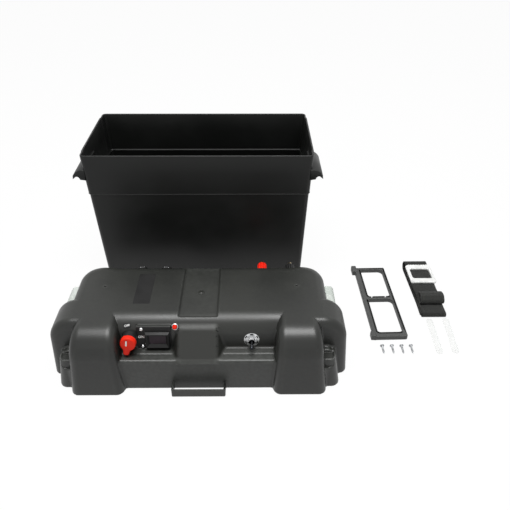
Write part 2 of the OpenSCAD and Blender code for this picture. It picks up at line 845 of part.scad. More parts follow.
module post_studs() color("#c9a25a") {
    for (i = [0, 1]) on_rear(post_x[i], post_z[i])
        translate([0, 0, -22]) cylinder(d = stud_d, h = 22 + post_base_t + post_knob_l + 6);
}

module post_nuts() color("silver") {
    for (i = [0, 1]) on_rear(post_x[i], post_z[i])
        translate([0, 0, -wall - rear_boss - 6.6]) hex_nut(13, stud_d, 6);
}

module post_knob(i) {
    on_rear(post_x[i], post_z[i]) translate([0, 0, post_base_t + body_clear]) difference() {
        union() {
            cylinder(d = post_knob_d, h = post_knob_l - 2);
            cylinder(d1 = post_knob_d, d2 = post_knob_d - 4, h = post_knob_l);
        }
        translate([0, 0, -1]) cylinder(d = stud_d + 2 * run_clear, h = post_knob_l + 2);
        for (a = [0 : 30 : 330]) rotate(a) translate([post_knob_d / 2 + 0.5, 0, -1])
            cylinder(d = 2.4, h = post_knob_l + 2);
    }
}

module post_knob_red() color("#d92a1e") post_knob(0);
module post_knob_black() color("#1c1c1d") post_knob(1);

// ---------- side lamps ----------

module at_lamps() {
    in_lid() for (side = [0, 1]) mirror([side, 0, 0])
        translate([upper_l / 2 - 0.6, lamp_y, lamp_top - lamp_h]) children();
}

module lamp_bases() color("#2a2b2b") at_lamps() difference() {
    translate([0, -lamp_l / 2, 0]) cube([3, lamp_l, lamp_h]);
    for (dy = [-1, 1]) translate([-1, dy * (lamp_l / 2 - lamp_screw_in), lamp_h / 2])
        rotate([0, 90, 0]) cylinder(d = 3, h = 6);
}

module lamp_boards() color("#e8e8df") at_lamps() {
    translate([3, -lamp_l / 2 + 9, 5]) cube([1.4, lamp_l - 18, lamp_h - 10]);
    for (dy = [-8, 0, 8]) translate([4.4, dy - 1.5, lamp_h / 2 - 1.5]) cube([0.8, 3, 3]);
}

module lamp_profile(inset) {
    polygon([[3, inset], [lamp_out - 6 - inset, inset], [lamp_out - inset, 8],
             [lamp_out - inset, lamp_h - 5 - inset / 2], [lamp_out - 5 - inset / 2, lamp_h - inset],
             [3, lamp_h - inset]]);
}

module lamp_lenses() color("#dfe3df", 0.6) at_lamps() difference() {
    along_y(lamp_l) lamp_profile(0);
    difference() {
        translate([-eps, 0, 0]) along_y(lamp_l - 2 * lens_t) lamp_profile(lens_t);
        for (dy = [-1, 1]) translate([0, dy * (lamp_l / 2 - lamp_screw_in), lamp_h / 2])
            rotate([0, 90, 0]) cylinder(d = 6, h = lamp_out);
    }
    for (dy = [-1, 1]) translate([-1, dy * (lamp_l / 2 - lamp_screw_in), lamp_h / 2]) rotate([0, 90, 0]) {
        cylinder(d = 3, h = lamp_out + 5);
        translate([0, 0, lamp_out - 2]) cylinder(d = 5.6, h = 5);
    }
}

module lamp_screws() color("#555759") at_lamps()
    for (dy = [-1, 1]) translate([0, dy * (lamp_l / 2 - lamp_screw_in), lamp_h / 2]) rotate([0, 90, 0]) {
        translate([0, 0, -6]) cylinder(d = 2.9, h = 6 + lamp_out - 3);
        translate([0, 0, lamp_out - 3]) cylinder(d1 = 2.9, d2 = 5.2, h = 1.6);
    }

// ---------- loose pieces ----------

module spacer_frame() color("#4a4b4b")
    translate([frame_at[0], frame_at[1], 0]) rotate(frame_turn) {
        linear_extrude(height = frame_t) difference() {
            rounded_rect(frame_w, frame_l, 3);
            translate([3.2, frame_l / 2 - 15 - window_l[0] / 2]) rounded_rect(window_w, window_l[0], 5);
            translate([3.2, -frame_l / 2 + 13.5 + window_l[1] / 2]) rounded_rect(window_w, window_l[1], 5);
            for (dx = [-12, 14]) translate([dx, frame_l / 2 - 15 - window_l[0] - 1]) circle(1.6);
        }
        for (lug = frame_lugs) translate([-frame_w / 2 + lug[0], lug[1], 0])
            cube([lug[2], lug[3], frame_t + 2]);
    }

module floor_screws() color("silver")
    for (x = screw_x) translate([x, screw_y, screw_head_d / 2]) rotate([90, 0, 0.1]) {
        cylinder(d1 = screw_head_d, d2 = screw_d, h = 3);
        translate([0, 0, 3 - eps]) cylinder(d = screw_d, h = screw_l - 7);
        translate([0, 0, screw_l - 4 - eps]) cylinder(d1 = screw_d, d2 = 0.6, h = 4);
    }

module clear_strips() color("#dfe4de", 0.5)
    for (s = strip_at) translate([s[0], s[1], 0]) rotate(-s[2])
        linear_extrude(height = strip_t) difference() {
            rounded_rect(strip_w, strip_l, 4);
            translate([0, -strip_l / 2 + 8]) circle(1.5);
        }

// Webbing swept along its runs: each ring is a flat rectangle, and each fold
// is a half turn from one run to the next
fold_steps = 8;
function run_dir(i) = strap_runs[i][1] > strap_runs[i][0] ? 1 : -1;
function run_turn(i) = run_dir(i) > 0 ? 0 : 180;
function run_ring(i, t) = let(r = strap_runs[i]) [r[0] + (r[1] - r[0]) * t, r[2], run_turn(i)];
// A fold leaves run i and swings up or down, out past its end and back
function fold_ring(i, t) = let(
        a = strap_runs[i], b = strap_runs[i + 1], rad = (b[2] - a[2]) / 2, swing = 180 * t,
        turn = run_dir(i) * (rad > 0 ? 1 : -1) * swing)
    [a[1] + run_dir(i) * abs(rad) * sin(swing), a[2] + rad * (1 - cos(swing)), run_turn(i) + turn];
strap_rings = [
    for (i = [0 : len(strap_runs) - 1]) each concat(
        [run_ring(i, 0), run_ring(i, 1)],
        i < len(strap_runs) - 1 ? [for (k = [1 : fold_steps - 1]) fold_ring(i, k / fold_steps)] : [])
];
ring_points = function(r)
    let(dy = -sin(r[2]) * strap_t / 2, dz = cos(r[2]) * strap_t / 2)
    [[strap_mid - strap_w / 2, r[0] - dy, r[1] - dz], [strap_mid + strap_w / 2, r[0] - dy, r[1] - dz],
     [strap_mid + strap_w / 2, r[0] + dy, r[1] + dz], [strap_mid - strap_w / 2, r[0] + dy, r[1] + dz]];

module strap_webbing() color("#111112") {
    n = len(strap_rings);
    polyhedron(
        points = [for (r = strap_rings) each ring_points(r)],
        faces = concat(
            [[0, 1, 2, 3]],
            [for (i = [0 : n - 2]) for (k = [0 : 3]) each
                [[4 * i + k, 4 * i + 4 + k, 4 * i + 4 + (k + 1) % 4],
                 [4 * i + k, 4 * i + 4 + (k + 1) % 4, 4 * i + (k + 1) % 4]]],
            [[4 * n - 1, 4 * n - 2, 4 * n - 3, 4 * n - 4]]));
}

module strap_buckle() color("#f0f1f0")
    translate([strap_mid, buckle_y, strap_runs[5][2] + strap_t / 2 + body_clear])
        linear_extrude(height = buckle_t) difference() {
            union() {
                rounded_rect(buckle_size[0], buckle_size[1], 4);
                for (k = [-5 : 5]) translate([k * tooth_gap, buckle_size[1] / 2 - 0.4]) circle(1.5, $fn = 16);
            }
            rounded_rect(buckle_size[0] - 2 * buckle_side, buckle_size[1] - 2 * buckle_end, 3);
        }

case_shell();
floor_screws();
clear_strips();
lid_shell();
control_plate();
plate_screws();
switch_bush();
switch_housing();
switch_studs();
switch_nuts();
meter_bezel();
meter_window();
meter_housing();
meter_tabs();
breaker_body();
breaker_ring();
breaker_nut();
breaker_tabs();
toggle_plate();
toggle_bush();
toggle_nut();
toggle_body();
toggle_tabs();
socket_shell(socket_x[0]);  // socket_shell_left
socket_shell(socket_x[1]);  // socket_shell_right
socket_contacts();
socket_nuts();
socket_cap_pins();
post_base_red();
post_base_black();
post_studs();
post_nuts();
lamp_bases();
lamp_boards();
lamp_lenses();
lamp_screws();
switch_key();
reset_button();
toggle_lever();
socket_cap(socket_x[0]);  // socket_cap_left
socket_cap(socket_x[1]);  // socket_cap_right
post_knob_red();
post_knob_black();
spacer_frame();
strap_webbing();
strap_buckle();
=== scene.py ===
# %% [markdown]
# A moulded battery case stands behind its outlet lid. A spacer frame, a
# folded strap, four screws and two clear strips lie beside them. The exact
# CAD model comes in first, and everything below is built around it.

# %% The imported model
import math

import bpy
import numpy as np
from mathutils import Matrix


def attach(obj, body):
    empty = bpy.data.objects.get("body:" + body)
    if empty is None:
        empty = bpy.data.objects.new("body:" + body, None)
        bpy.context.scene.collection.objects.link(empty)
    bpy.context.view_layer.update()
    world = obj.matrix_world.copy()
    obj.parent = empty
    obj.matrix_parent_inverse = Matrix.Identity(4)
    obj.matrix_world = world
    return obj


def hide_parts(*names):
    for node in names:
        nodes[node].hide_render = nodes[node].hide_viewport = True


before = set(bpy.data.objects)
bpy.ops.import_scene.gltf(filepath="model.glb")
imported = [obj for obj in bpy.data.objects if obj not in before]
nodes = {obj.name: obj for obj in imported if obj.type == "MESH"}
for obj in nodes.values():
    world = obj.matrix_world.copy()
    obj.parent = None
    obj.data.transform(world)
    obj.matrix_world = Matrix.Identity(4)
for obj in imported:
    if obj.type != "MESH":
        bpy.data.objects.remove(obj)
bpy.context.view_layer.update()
MM = 0.001

# %% [markdown]
# The camera stands where the photographer stood: about a metre from the
# lid, 0.7 m above the floor, looking 36 degrees down. These values come
# from matching corners of the real thing to the CAD model.

# %% The camera
camera_data = bpy.data.cameras.new("camera")
camera_data.lens = 38.50
camera_data.sensor_width = 36
camera_data.clip_end = 20
camera = bpy.data.objects.new("camera", camera_data)
bpy.context.scene.collection.objects.link(camera)
pitch, yaw, roll = (math.radians(v) for v in (36.305, 0.532, 0.159))
ahead = np.array([math.sin(yaw) * math.cos(pitch), math.cos(yaw) * math.cos(pitch), -math.sin(pitch)])
level = np.array([math.cos(yaw), -math.sin(yaw), 0])
above = np.cross(level, ahead)
right = math.cos(roll) * level + math.sin(roll) * above
upward = math.cos(roll) * above - math.sin(roll) * level
turn = Matrix(np.stack([right, upward, -ahead], 1).tolist())
camera.matrix_world = Matrix.Translation((0.09407, -0.96291, 0.69877)) @ turn.to_4x4()
bpy.context.scene.camera = camera
print("camera looks", round(math.degrees(pitch), 1), "degrees down")

# %% [markdown]
# Every new piece is a surface worked out as arrays of points. One helper
# turns points and faces into a mesh, and another joins a stack of rings as
# a loft does. Millimetres are easier to think in, so the arrays hold
# millimetres and become metres only when the mesh is made.

# %% Points and faces to a piece


def piece(name, shape, body, slot, smooth=True, sharp=None):
    """A mesh from shape, which is an array of points in millimetres and a
    list of arrays of faces, with the finish of its slot. Edges sharper than
    `sharp` degrees stay crisp."""
    points, faces = shape
    faces = [np.asarray(f, int) for f in faces if len(f)]
    loops = np.concatenate([f.ravel() for f in faces])
    sizes = np.concatenate([np.full(len(f), f.shape[1]) for f in faces])
    mesh = bpy.data.meshes.new(name)
    mesh.vertices.add(len(points))
    mesh.vertices.foreach_set("co", (np.asarray(points, float) * MM).astype(np.float32).ravel())
    mesh.loops.add(len(loops))
    mesh.loops.foreach_set("vertex_index", loops.astype(np.int32))
    mesh.polygons.add(len(sizes))
    starts = np.concatenate([[0], np.cumsum(sizes)[:-1]])
    mesh.polygons.foreach_set("loop_start", starts.astype(np.int32))
    mesh.polygons.foreach_set("use_smooth", np.full(len(sizes), smooth))
    mesh.update(calc_edges=True)
    mesh.validate()
    if sharp:
        mesh.set_sharp_from_angle(angle=math.radians(sharp))
    thing = bpy.data.objects.new(name, mesh)
    bpy.context.scene.collection.objects.link(thing)
    mesh.materials.append(finishes[slot])
    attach(thing, body)
    return thing


def outward(points, faces):
    """Turns all faces round if the closed shape they make has a negative
    volume, which is a sixth of the sum of a . (b x c) over its triangles."""
    total = 0.0
    for f in faces:
        for k in range(1, f.shape[1] - 1):
            a, b, c = points[f[:, 0]], points[f[:, k]], points[f[:, k + 1]]
            total += np.einsum("ij,ij->i", a, np.cross(b, c)).sum()
    return faces if total > 0 else [f[:, ::-1] for f in faces]


def loft(rings, ends="closed"):
    """Points and faces of rings[k, j]: ring k is joined to ring k + 1. The
    ends are closed with a fan round their middle, or the last ring meets the
    first when ends is "looped"."""
    rings = np.asarray(rings, float)
    m, n, _ = rings.shape
    grid = np.arange(m * n).reshape(m, n)
    if ends == "looped":
        grid = np.vstack([grid, grid[:1]])
    low, high = grid[:-1], grid[1:]
    quads = np.stack([low, np.roll(low, -1, 1), np.roll(high, -1, 1), high], -1).reshape(-1, 4)
    points = rings.reshape(-1, 3)
    faces = [quads]
    if ends == "closed":
        points = np.vstack([points, rings[0].mean(0), rings[-1].mean(0)])
        fan = np.stack([np.roll(grid[0], -1), grid[0], np.full(n, m * n)], -1)
        cap = np.stack([grid[m - 1], np.roll(grid[m - 1], -1), np.full(n, m * n + 1)], -1)
        faces += [fan, cap]
    return points, outward(points, faces)


def joined(*shapes):
    """Several shapes as one: each one's face numbers move up by the number
    of points before it."""
    starts = np.cumsum([0] + [len(s[0]) for s in shapes])
    faces = [f + start for s, start in zip(shapes, starts) for f in s[1]]
    return np.vstack([s[0] for s in shapes]), faces


def moved(shape, by):
    """A shape shifted by (x, y, z)."""
    return shape[0] + np.asarray(by, float), shape[1]


def spun(shape, degrees):
    """A shape turned about its own z axis."""
    c, s = math.cos(math.radians(degrees)), math.sin(math.radians(degrees))
    return shape[0] @ np.array([[c, s, 0], [-s, c, 0], [0, 0, 1]]), shape[1]


def placed(shape, origin, across, up, out):
    """A shape in a panel's own frame (across it, up it, out of it), put in
    the part's frame: origin + x across + y up + z out."""
    return shape[0] @ np.array([across, up, out], float) + np.asarray(origin, float), shape[1]


def circle(radius, count=48, start=0.0):
    """Points (x, y) evenly round a circle, one radius or one per point."""
    angle = start + np.arange(count) * 2 * np.pi / count
    return np.stack([radius * np.cos(angle), radius * np.sin(angle)], -1)


def level_ring(outline, z):
    """An outline of points (x, y) as a ring of points at height z."""
    return np.column_stack([outline, np.full(len(outline), z)])


def turned(profile, count=48, ends="closed"):
    """A profile of (radius, height) pairs spun round the z axis. A profile
    that meets itself, as a washer's does, is looped."""
    return loft([level_ring(circle(r, count), z) for r, z in profile], ends)


def rounded(length, width, radius, count=8):
    """Points (x, y) round a rectangle whose corners are arcs of `count`
    steps."""
    angle = np.linspace(0, np.pi / 2, count + 1)
    corners = []
    for k, (sx, sy) in enumerate([(1, 1), (-1, 1), (-1, -1), (1, -1)]):
        a = angle + k * np.pi / 2
        corners.append(np.stack([sx * (length / 2 - radius) + radius * np.cos(a),
                                 sy * (width / 2 - radius) + radius * np.sin(a)], -1))
    return np.vstack(corners)


def slab(length, width, radius, low, high, edge, count=8):
    """A flat piece from z = low to z = high on a rounded rectangle, which
    draws in by `edge` over a quarter circle below and above. One more ring
    on each face keeps the bend's shading off the flat."""
    bend = np.linspace(0, np.pi / 2, 4)
    steps = [(edge * (1 - math.sin(a)), low + edge * (1 - math.cos(a))) for a in bend]
    steps += [(edge * (1 - math.cos(a)), high - edge * (1 - math.sin(a))) for a in bend]
    steps = [(edge + 0.2, low), *steps, (edge + 0.2, high)]
    return loft([level_ring(rounded(length - 2 * i, width - 2 * i, radius - i, count), z) for i, z in steps])


def baked(thing):
    """A thing's points and triangles once its modifiers or its letters are
    worked out. The thing itself is then removed."""
    mesh = thing.evaluated_get(bpy.context.evaluated_depsgraph_get()).to_mesh()
    co = np.empty(len(mesh.vertices) * 3, np.float32)
    mesh.vertices.foreach_get("co", co)
    mesh.calc_loop_triangles()
    corners = np.empty(len(mesh.loop_triangles) * 3, np.int32)
    mesh.loop_triangles.foreach_get("vertices", corners)
    thing.to_mesh_clear()
    bpy.data.objects.remove(thing)
    return co.reshape(-1, 3).astype(float), [corners.reshape(-1, 3)]


print("helpers ready")

# %% [markdown]
# The lid is a big soft moulding: blocks that flow into each other with
# fillets. Boxes with bevels can't do that, but a distance field can. Each
# block is a function that is negative inside it, two blocks are joined or
# cut with a rounding formula, and one net of faces is laid over the place
# where the result is zero.

# %% Rounded joins and cuts


def blunt(a, b, r):
    """Inside both a and b, with the edge where they meet rounded to r:
    min(max(a, b), -r) + the length of (a + r, b + r) where positive."""
    return np.minimum(np.maximum(a, b), -r) + np.hypot(np.maximum(a + r, 0), np.maximum(b + r, 0))


def weld(a, b, r):
    """Inside a or b, with a fillet of radius r in the corner between."""
    return -blunt(-a, -b, r)


def carve(a, b, r):
    """Inside a but not b, with the cut's edge rounded to r."""
    return blunt(a, -b, r)


def lean(across, out, degrees, z, foot=0.0):
    """A wall that stands `out` from the middle at height foot and leans in."""
    slant = math.radians(degrees)
    return (across - out) * math.cos(slant) + (z - foot) * math.sin(slant)


# %% A net over a field


def marks(low, high, step, fine=()):
    """Grid lines a step apart, and closer in each band (middle, reach, step)."""
    line = np.arange(low, high + step, step)
    for middle, reach, small in fine:
        line = line[np.abs(line - middle) > reach + small]
        line = np.concatenate([line, np.arange(middle - reach, middle + reach + small / 2, small)])
    return np.sort(line)


def net(field, lines):
    """The surface where field(x, y, z) = 0. A grid cell that it passes
    through has one point, the mean of the places where the cell's edges
    cross it, and each crossed edge has one face between its four cells."""
    x, y, z = (line.astype(np.float32) for line in lines)
    values = np.asarray(field(x[:, None, None], y[None, :, None], z[None, None, :]))
    cells = np.array(values.shape) - 1
    spots, owners, quads = [], [], []
    for a in range(3):
        b, c = (a + 1) % 3, (a + 2) % 3
        first = np.take(values, range(cells[a]), a)
        second = np.take(values, range(1, cells[a] + 1), a)
        hit = np.argwhere((first < 0) != (second < 0))
        v0, v1 = first[tuple(hit.T)], second[tuple(hit.T)]
        spot = np.stack([lines[k][hit[:, k]] for k in range(3)], 1)
        spot[:, a] += v0 / (v0 - v1) * (lines[a][hit[:, a] + 1] - lines[a][hit[:, a]])
        corner = []
        for db, dc in ((1, 1), (0, 1), (0, 0), (1, 0)):
            cell = hit.copy()
            cell[:, b] -= db
            cell[:, c] -= dc
            corner.append(np.ravel_multi_index(cell.T, cells))
            spots.append(spot)
        owners += corner
        quad = np.stack(corner, 1)
        quad[v0 >= 0] = quad[v0 >= 0][:, ::-1]
        quads.append(quad)
    spots, owners = np.vstack(spots), np.concatenate(owners)
    used, number = np.unique(owners, return_inverse=True)
    share = np.bincount(number)
    points = np.stack([np.bincount(number, spots[:, k]) / share for k in range(3)], 1)
    return points, np.searchsorted(used, np.vstack(quads))


def slope(field, points, reach=0.05):
    """The field's gradient: the difference over a short step each way."""
    steps = np.eye(3) * reach
    return np.stack([(field(*(points + s).T) - field(*(points - s).T)) / (2 * reach) for s in steps], 1)


def settle(field, points, limit, rounds=3):
    """Moves points onto the surface: against the gradient by the field's
    value over the gradient's length, no more than the limit each time."""
    for _ in range(rounds):
        g = slope(field, points)
        size = np.maximum(np.linalg.norm(g, axis=1), 0.3)
        move = np.clip(field(*points.T) / size, -limit, limit) / size
        points = points - g * move[:, None]
    return points


def netted(field, lines, limit):
    """A net over a field, settled onto it."""
    points, quads = net(field, lines)
    return settle(field, points, limit), [quads]


def shade_by(thing, field, offset=(0, 0, 0)):
    """Normals straight from the field's gradient, so that the shading is as
    smooth as the formula and not as the mesh."""
    mesh = thing.data
    points = np.empty(len(mesh.vertices) * 3, np.float32)
    mesh.vertices.foreach_get("co", points)
    g = slope(field, points.reshape(-1, 3).astype(float) / MM - np.asarray(offset, float), 0.12)
    g /= np.maximum(np.linalg.norm(g, axis=1, keepdims=True), 1e-6)
    mesh.normals_split_custom_set_from_vertices(g.tolist())


print("field helpers ready")

# %% [markdown]
# Plastic looks like plastic because of small things: a fine spark-eroded
# grain on the lid, a smoother polish on the case, and edges painted a little
# paler, partly as wear and partly as a painted highlight. Effects that several
# finishes share are node groups, built once.
# Constant values go straight onto the shader's own sockets.

# %% Node helpers


def linear(red, green, blue):
    """A colour from the 0-255 values that one reads on a screen."""
    values = np.array([red, green, blue]) / 255
    bent = np.where(values <= 0.04045, values / 12.92, ((values + 0.055) / 1.055) ** 2.4)
    return (*bent.tolist(), 1.0)


def node(tree, kind, inputs=None, **settings):
    """A node with its settings, and inputs that are links or values."""
    made = tree.nodes.new(kind)
    for key, value in settings.items():
        setattr(made, key, value)
    for key, value in (inputs or {}).items():
        if isinstance(value, bpy.types.NodeSocket):
            tree.links.new(value, made.inputs[key])
        else:
            made.inputs[key].default_value = value
    return made


def use(tree, made_group, inputs):
    """A node group placed in a material, with its own values."""
    return node(tree, "ShaderNodeGroup", inputs, node_tree=made_group)


def group(name, takes, gives):
    """An empty node group with named number, colour and vector sockets."""
    tree = bpy.data.node_groups.new(name, "ShaderNodeTree")
    for key, kind, value in takes:
        socket = tree.interface.new_socket(key, in_out="INPUT", socket_type=kind)
        if value is not None:
            socket.default_value = value
    for key, kind in gives:
        tree.interface.new_socket(key, in_out="OUTPUT", socket_type=kind)
    return tree, tree.nodes.new("NodeGroupInput").outputs, tree.nodes.new("NodeGroupOutput").inputs


def maths(tree, operation, *values):
    """One sum of a Math node."""
    return node(tree, "ShaderNodeMath", dict(enumerate(values)), operation=operation).outputs[0]


NUMBER, COLOUR, VECTOR = "NodeSocketFloat", "NodeSocketColor", "NodeSocketVector"
print("node helpers ready")

# %% [markdown]
# A mould is roughened by sparks, and the plastic takes that skin. An image
# could show it, but noise has no seams and no edge where it repeats. A fine
# noise and small round pits give the height, a broad noise gives patches.

# %% Grain of a moulding
grain_tree, takes, gives = group(
    "moulded_grain",
    [("Place", VECTOR, None), ("Pitch", NUMBER, 1200.0), ("Blotch", NUMBER, 18.0)],
    [("Height", NUMBER), ("Patches", NUMBER)],
)
fine = node(grain_tree, "ShaderNodeTexNoise", {"Vector": takes["Place"], "Scale": takes["Pitch"],
            "Detail": 2.0, "Roughness": 0.6})
pits = node(grain_tree, "ShaderNodeTexVoronoi", {"Vector": takes["Place"], "Scale": takes["Pitch"]},
            feature="SMOOTH_F1")
broad = node(grain_tree, "ShaderNodeTexNoise", {"Vector": takes["Place"], "Scale": takes["Blotch"],
             "Detail": 4.0, "Roughness": 0.55})
grain_tree.links.new(maths(grain_tree, "ADD", fine.outputs["Fac"], pits.outputs["Distance"]), gives["Height"])
grain_tree.links.new(broad.outputs["Fac"], gives["Patches"])
print("grain group has", len(grain_tree.nodes), "nodes")

# %% [markdown]
# No moulding is one flat colour. A mask between two close tones is enough:
# its limits, Low and High, say how sharp the change from one to the other
# is, and the same share then drives the polish.

# %% Two tones mixed by a mask
tone_tree, takes, gives = group(
    "two_tones",
    [("Mask", NUMBER, 0.5), ("Low", NUMBER, 0.35), ("High", NUMBER, 0.65),
     ("Dark", COLOUR, None), ("Light", COLOUR, None)],
    [("Color", COLOUR), ("Share", NUMBER)],
)
share = node(tone_tree, "ShaderNodeMapRange", {"Value": takes["Mask"], "From Min": takes["Low"],
             "From Max": takes["High"]}, interpolation_type="SMOOTHSTEP")
blended = node(tone_tree, "ShaderNodeMix", {0: share.outputs["Result"], 6: takes["Dark"],
               7: takes["Light"]}, data_type="RGBA")
tone_tree.links.new(blended.outputs[2], gives["Color"])
tone_tree.links.new(share.outputs["Result"], gives["Share"])
print("tone group has", len(tone_tree.nodes), "nodes")

# %% Paler edges: painted highlight and wear
# The mask is 1 on an outer edge, broken up by noise. It paints the edge paler, partly as a painted highlight
# and partly as wear, as handling leaves it.
edge_highlight_tree, takes, gives = group(
    "edge_highlight_and_wear",
    [("Place", VECTOR, None), ("Edge", NUMBER, 0.0), ("Amount", NUMBER, 0.5)],
    [("Share", NUMBER)],
)
broken = node(edge_highlight_tree, "ShaderNodeTexNoise", {"Vector": takes["Place"], "Scale": 160.0, "Detail": 5.0})
edge_highlight_share = maths(edge_highlight_tree, "MULTIPLY", maths(edge_highlight_tree, "MULTIPLY", takes["Edge"], broken.outputs["Fac"]),
                  takes["Amount"])
edge_highlight_tree.links.new(edge_highlight_share, gives["Share"])
print("rub group has", len(edge_highlight_tree.nodes), "nodes")

# %% [markdown]
# Webbing is woven from thick threads. Modelling each one would take
# millions of faces, so the threads are a height in the shader: two waves at
# right angles, and where one thread is on top the other dips. Between the
# threads the webbing is painted darker, as painted shade.

# %% Woven threads
weave_tree, takes, gives = group(
    "woven_threads",
    [("Place", VECTOR, None), ("Along", NUMBER, 4000.0), ("Across", NUMBER, 2400.0)],
    [("Height", NUMBER), ("Gaps", NUMBER)],
)
split = node(weave_tree, "ShaderNodeSeparateXYZ", {0: takes["Place"]})
warp = maths(weave_tree, "SINE", maths(weave_tree, "MULTIPLY", split.outputs[0], takes["Along"]))
weft = maths(weave_tree, "SINE", maths(weave_tree, "MULTIPLY", split.outputs[1], takes["Across"]))
both = maths(weave_tree, "MULTIPLY", warp, weft)
top_thread = maths(weave_tree, "MAXIMUM", both, maths(weave_tree, "MULTIPLY", warp, 0.6))
weave_tree.links.new(top_thread, gives["Height"])
# Gaps is near 0 between the threads, where the webbing finish paints shade
weave_tree.links.new(maths(weave_tree, "ABSOLUTE", both), gives["Gaps"])
print("node groups", [tree.name for tree in bpy.data.node_groups])

# %% [markdown]
# Sixteen finishes, one for each material slot in the record. They share one
# recipe: a broad pattern picks between two close tones and two degrees of
# polish, and a fine pattern raises the surface a few hundredths of a
# millimetre. Metals and clear plastics change the shader's other sockets.

# %% One recipe for a finish
finishes = {}


def finish(slot, dark, light, polish, pitch=900.0, blotch=14.0, bump=0.25, depth=0.00008, **fixed):
    """A material for a slot: dark and light tones, polish = (roughness where
    dark, where light), bump strength and depth in metres. Fixed values go
    onto the shader, with _ for the spaces in a socket's name."""
    material = bpy.data.materials.new(slot + "_finish")
    material.use_nodes = True
    tree = material.node_tree
    shader = tree.nodes["Principled BSDF"]
    place = node(tree, "ShaderNodeTexCoord").outputs["Object"]
    pattern = use(tree, grain_tree, {"Place": place, "Pitch": pitch, "Blotch": blotch})
    tone = use(tree, tone_tree, {"Mask": pattern.outputs["Patches"], "Low": 0.35, "High": 0.65,
               "Dark": linear(*dark), "Light": linear(*light)})
    rough = node(tree, "ShaderNodeMapRange", {"Value": tone.outputs["Share"], "To Min": polish[0],
                 "To Max": polish[1]})
    relief = node(tree, "ShaderNodeBump", {"Strength": bump, "Distance": depth,
                  "Height": pattern.outputs["Height"]})
    tree.links.new(tone.outputs["Color"], shader.inputs["Base Color"])
    tree.links.new(rough.outputs[0], shader.inputs["Roughness"])
    tree.links.new(relief.outputs["Normal"], shader.inputs["Normal"])
    for key, value in fixed.items():
        shader.inputs[key.replace("_", " ")].default_value = value
    material.diffuse_color = linear(*light)
    finishes[slot] = material
    return tree, shader, place, tone, relief


# %% Plain plastics and metals
lid_tree, lid_shader, lid_place, lid_tone, _ = finish(
    "lid_plastic", (31, 32, 30), (35, 36, 33), (0.33, 0.42), 700.0, 9.0, 0.25, 0.0001,
    Specular_IOR_Level=0.42)
finish("case_plastic", (17, 18, 17), (21, 22, 21), (0.38, 0.48), 500.0, 7.0, 0.15, Specular_IOR_Level=0.3)
finish("frame_plastic", (60, 61, 60), (70, 71, 70), (0.5, 0.62), 600.0, 20.0, 0.3)
finish("black_plastic", (19, 19, 19), (25, 25, 25), (0.45, 0.55), 1100.0, 30.0, 0.3, Specular_IOR_Level=0.3)
finish("black_gloss", (14, 14, 15), (20, 20, 21), (0.12, 0.18), 1500.0, 40.0, 0.1)
finish("red_plastic", (224, 32, 16), (236, 44, 22), (0.45, 0.55), 900.0, 40.0, 0.15, Specular_IOR_Level=0.2)
finish("white_plastic", (232, 233, 231), (244, 245, 243), (0.28, 0.38), 500.0, 60.0, 0.1)
finish("circuit_board", (222, 223, 214), (236, 236, 228), (0.4, 0.5), 900.0, 50.0, 0.1)
finish("bright_steel", (196, 197, 198), (222, 223, 224), (0.12, 0.24), 1400.0, 90.0, 0.15, Metallic=1.0)
finish("zinc_steel", (150, 152, 154), (186, 188, 190), (0.26, 0.42), 900.0, 120.0, 0.3, Metallic=1.0)
finish("dark_steel", (46, 48, 51), (78, 80, 83), (0.28, 0.42), 900.0, 120.0, 0.3, Metallic=1.0)
finish("contact_brass", (176, 160, 128), (208, 196, 168), (0.22, 0.36), 900.0, 100.0, 0.25, Metallic=1.0)
finish("meter_glass", (44, 33, 41), (56, 43, 52), (0.4, 0.5), 2000.0, 60.0, 0.05, Specular_IOR_Level=0.3)
finish("lamp_lens", (206, 214, 207), (226, 231, 226), (0.22, 0.34), 300.0, 50.0, 0.3,
       Transmission_Weight=0.25, IOR=1.45)
clear_tree, clear_shader, _, clear_tone, _ = finish(
    "clear_vinyl", (226, 229, 226), (240, 242, 240), (0.08, 0.16), 200.0, 30.0, 0.2)
see_through = node(clear_tree, "ShaderNodeMapRange", {"Value": clear_tone.outputs["Share"],
                   "To Min": 0.3, "To Max": 0.4})
clear_tree.links.new(see_through.outputs[0], clear_shader.inputs["Alpha"])

# %% Painted edge highlight and wear on the lid
# The net that makes the lid writes an "edge" value on every point, and here
# it turns the colour a little paler: a painted highlight on the edges, with some wear.
edge = node(lid_tree, "ShaderNodeAttribute", attribute_name="edge", attribute_type="GEOMETRY")
edge_highlight_mask = use(lid_tree, edge_highlight_tree, {"Place": lid_place, "Edge": edge.outputs["Fac"], "Amount": 0.9})
edge_highlight_colour = node(lid_tree, "ShaderNodeMix", {0: edge_highlight_mask.outputs["Share"], 6: lid_tone.outputs["Color"],
              7: linear(80, 82, 79)}, data_type="RGBA")
lid_tree.links.new(edge_highlight_colour.outputs[2], lid_shader.inputs["Base Color"])
print("lid finish reads its edges")

# %% [markdown]
# The weave has to follow the strap through its folds. A pattern on object
# coordinates would cut across them, so it reads the strap's own UV map,
# which is the strap as it lay flat before it was folded.

# %% Webbing
web_tree, web_shader, _, web_tone, web_relief = finish(
    "webbing", (32, 33, 31), (57, 58, 53), (0.75, 0.9), 900.0, 260.0, 0.9, 0.0004,
    Sheen_Weight=0.2, Sheen_Roughness=0.5, Specular_IOR_Level=0.25)
web_place = node(web_tree, "ShaderNodeUVMap", uv_map="cut").outputs["UV"]
threads = use(web_tree, weave_tree, {"Place": web_place, "Along": 3500.0, "Across": 2100.0})
web_tree.links.new(threads.outputs["Height"], web_relief.inputs["Height"])
# Painted shade: the colour turns dark (24, 25, 24) between the threads
thread_gap_shade = node(web_tree, "ShaderNodeMix", {0: threads.outputs["Gaps"], 6: linear(24, 25, 24),
            7: web_tone.outputs["Color"]}, data_type="RGBA")
web_tree.links.new(thread_gap_shade.outputs[2], web_shader.inputs["Base Color"])
print(len(finishes), "finishes")

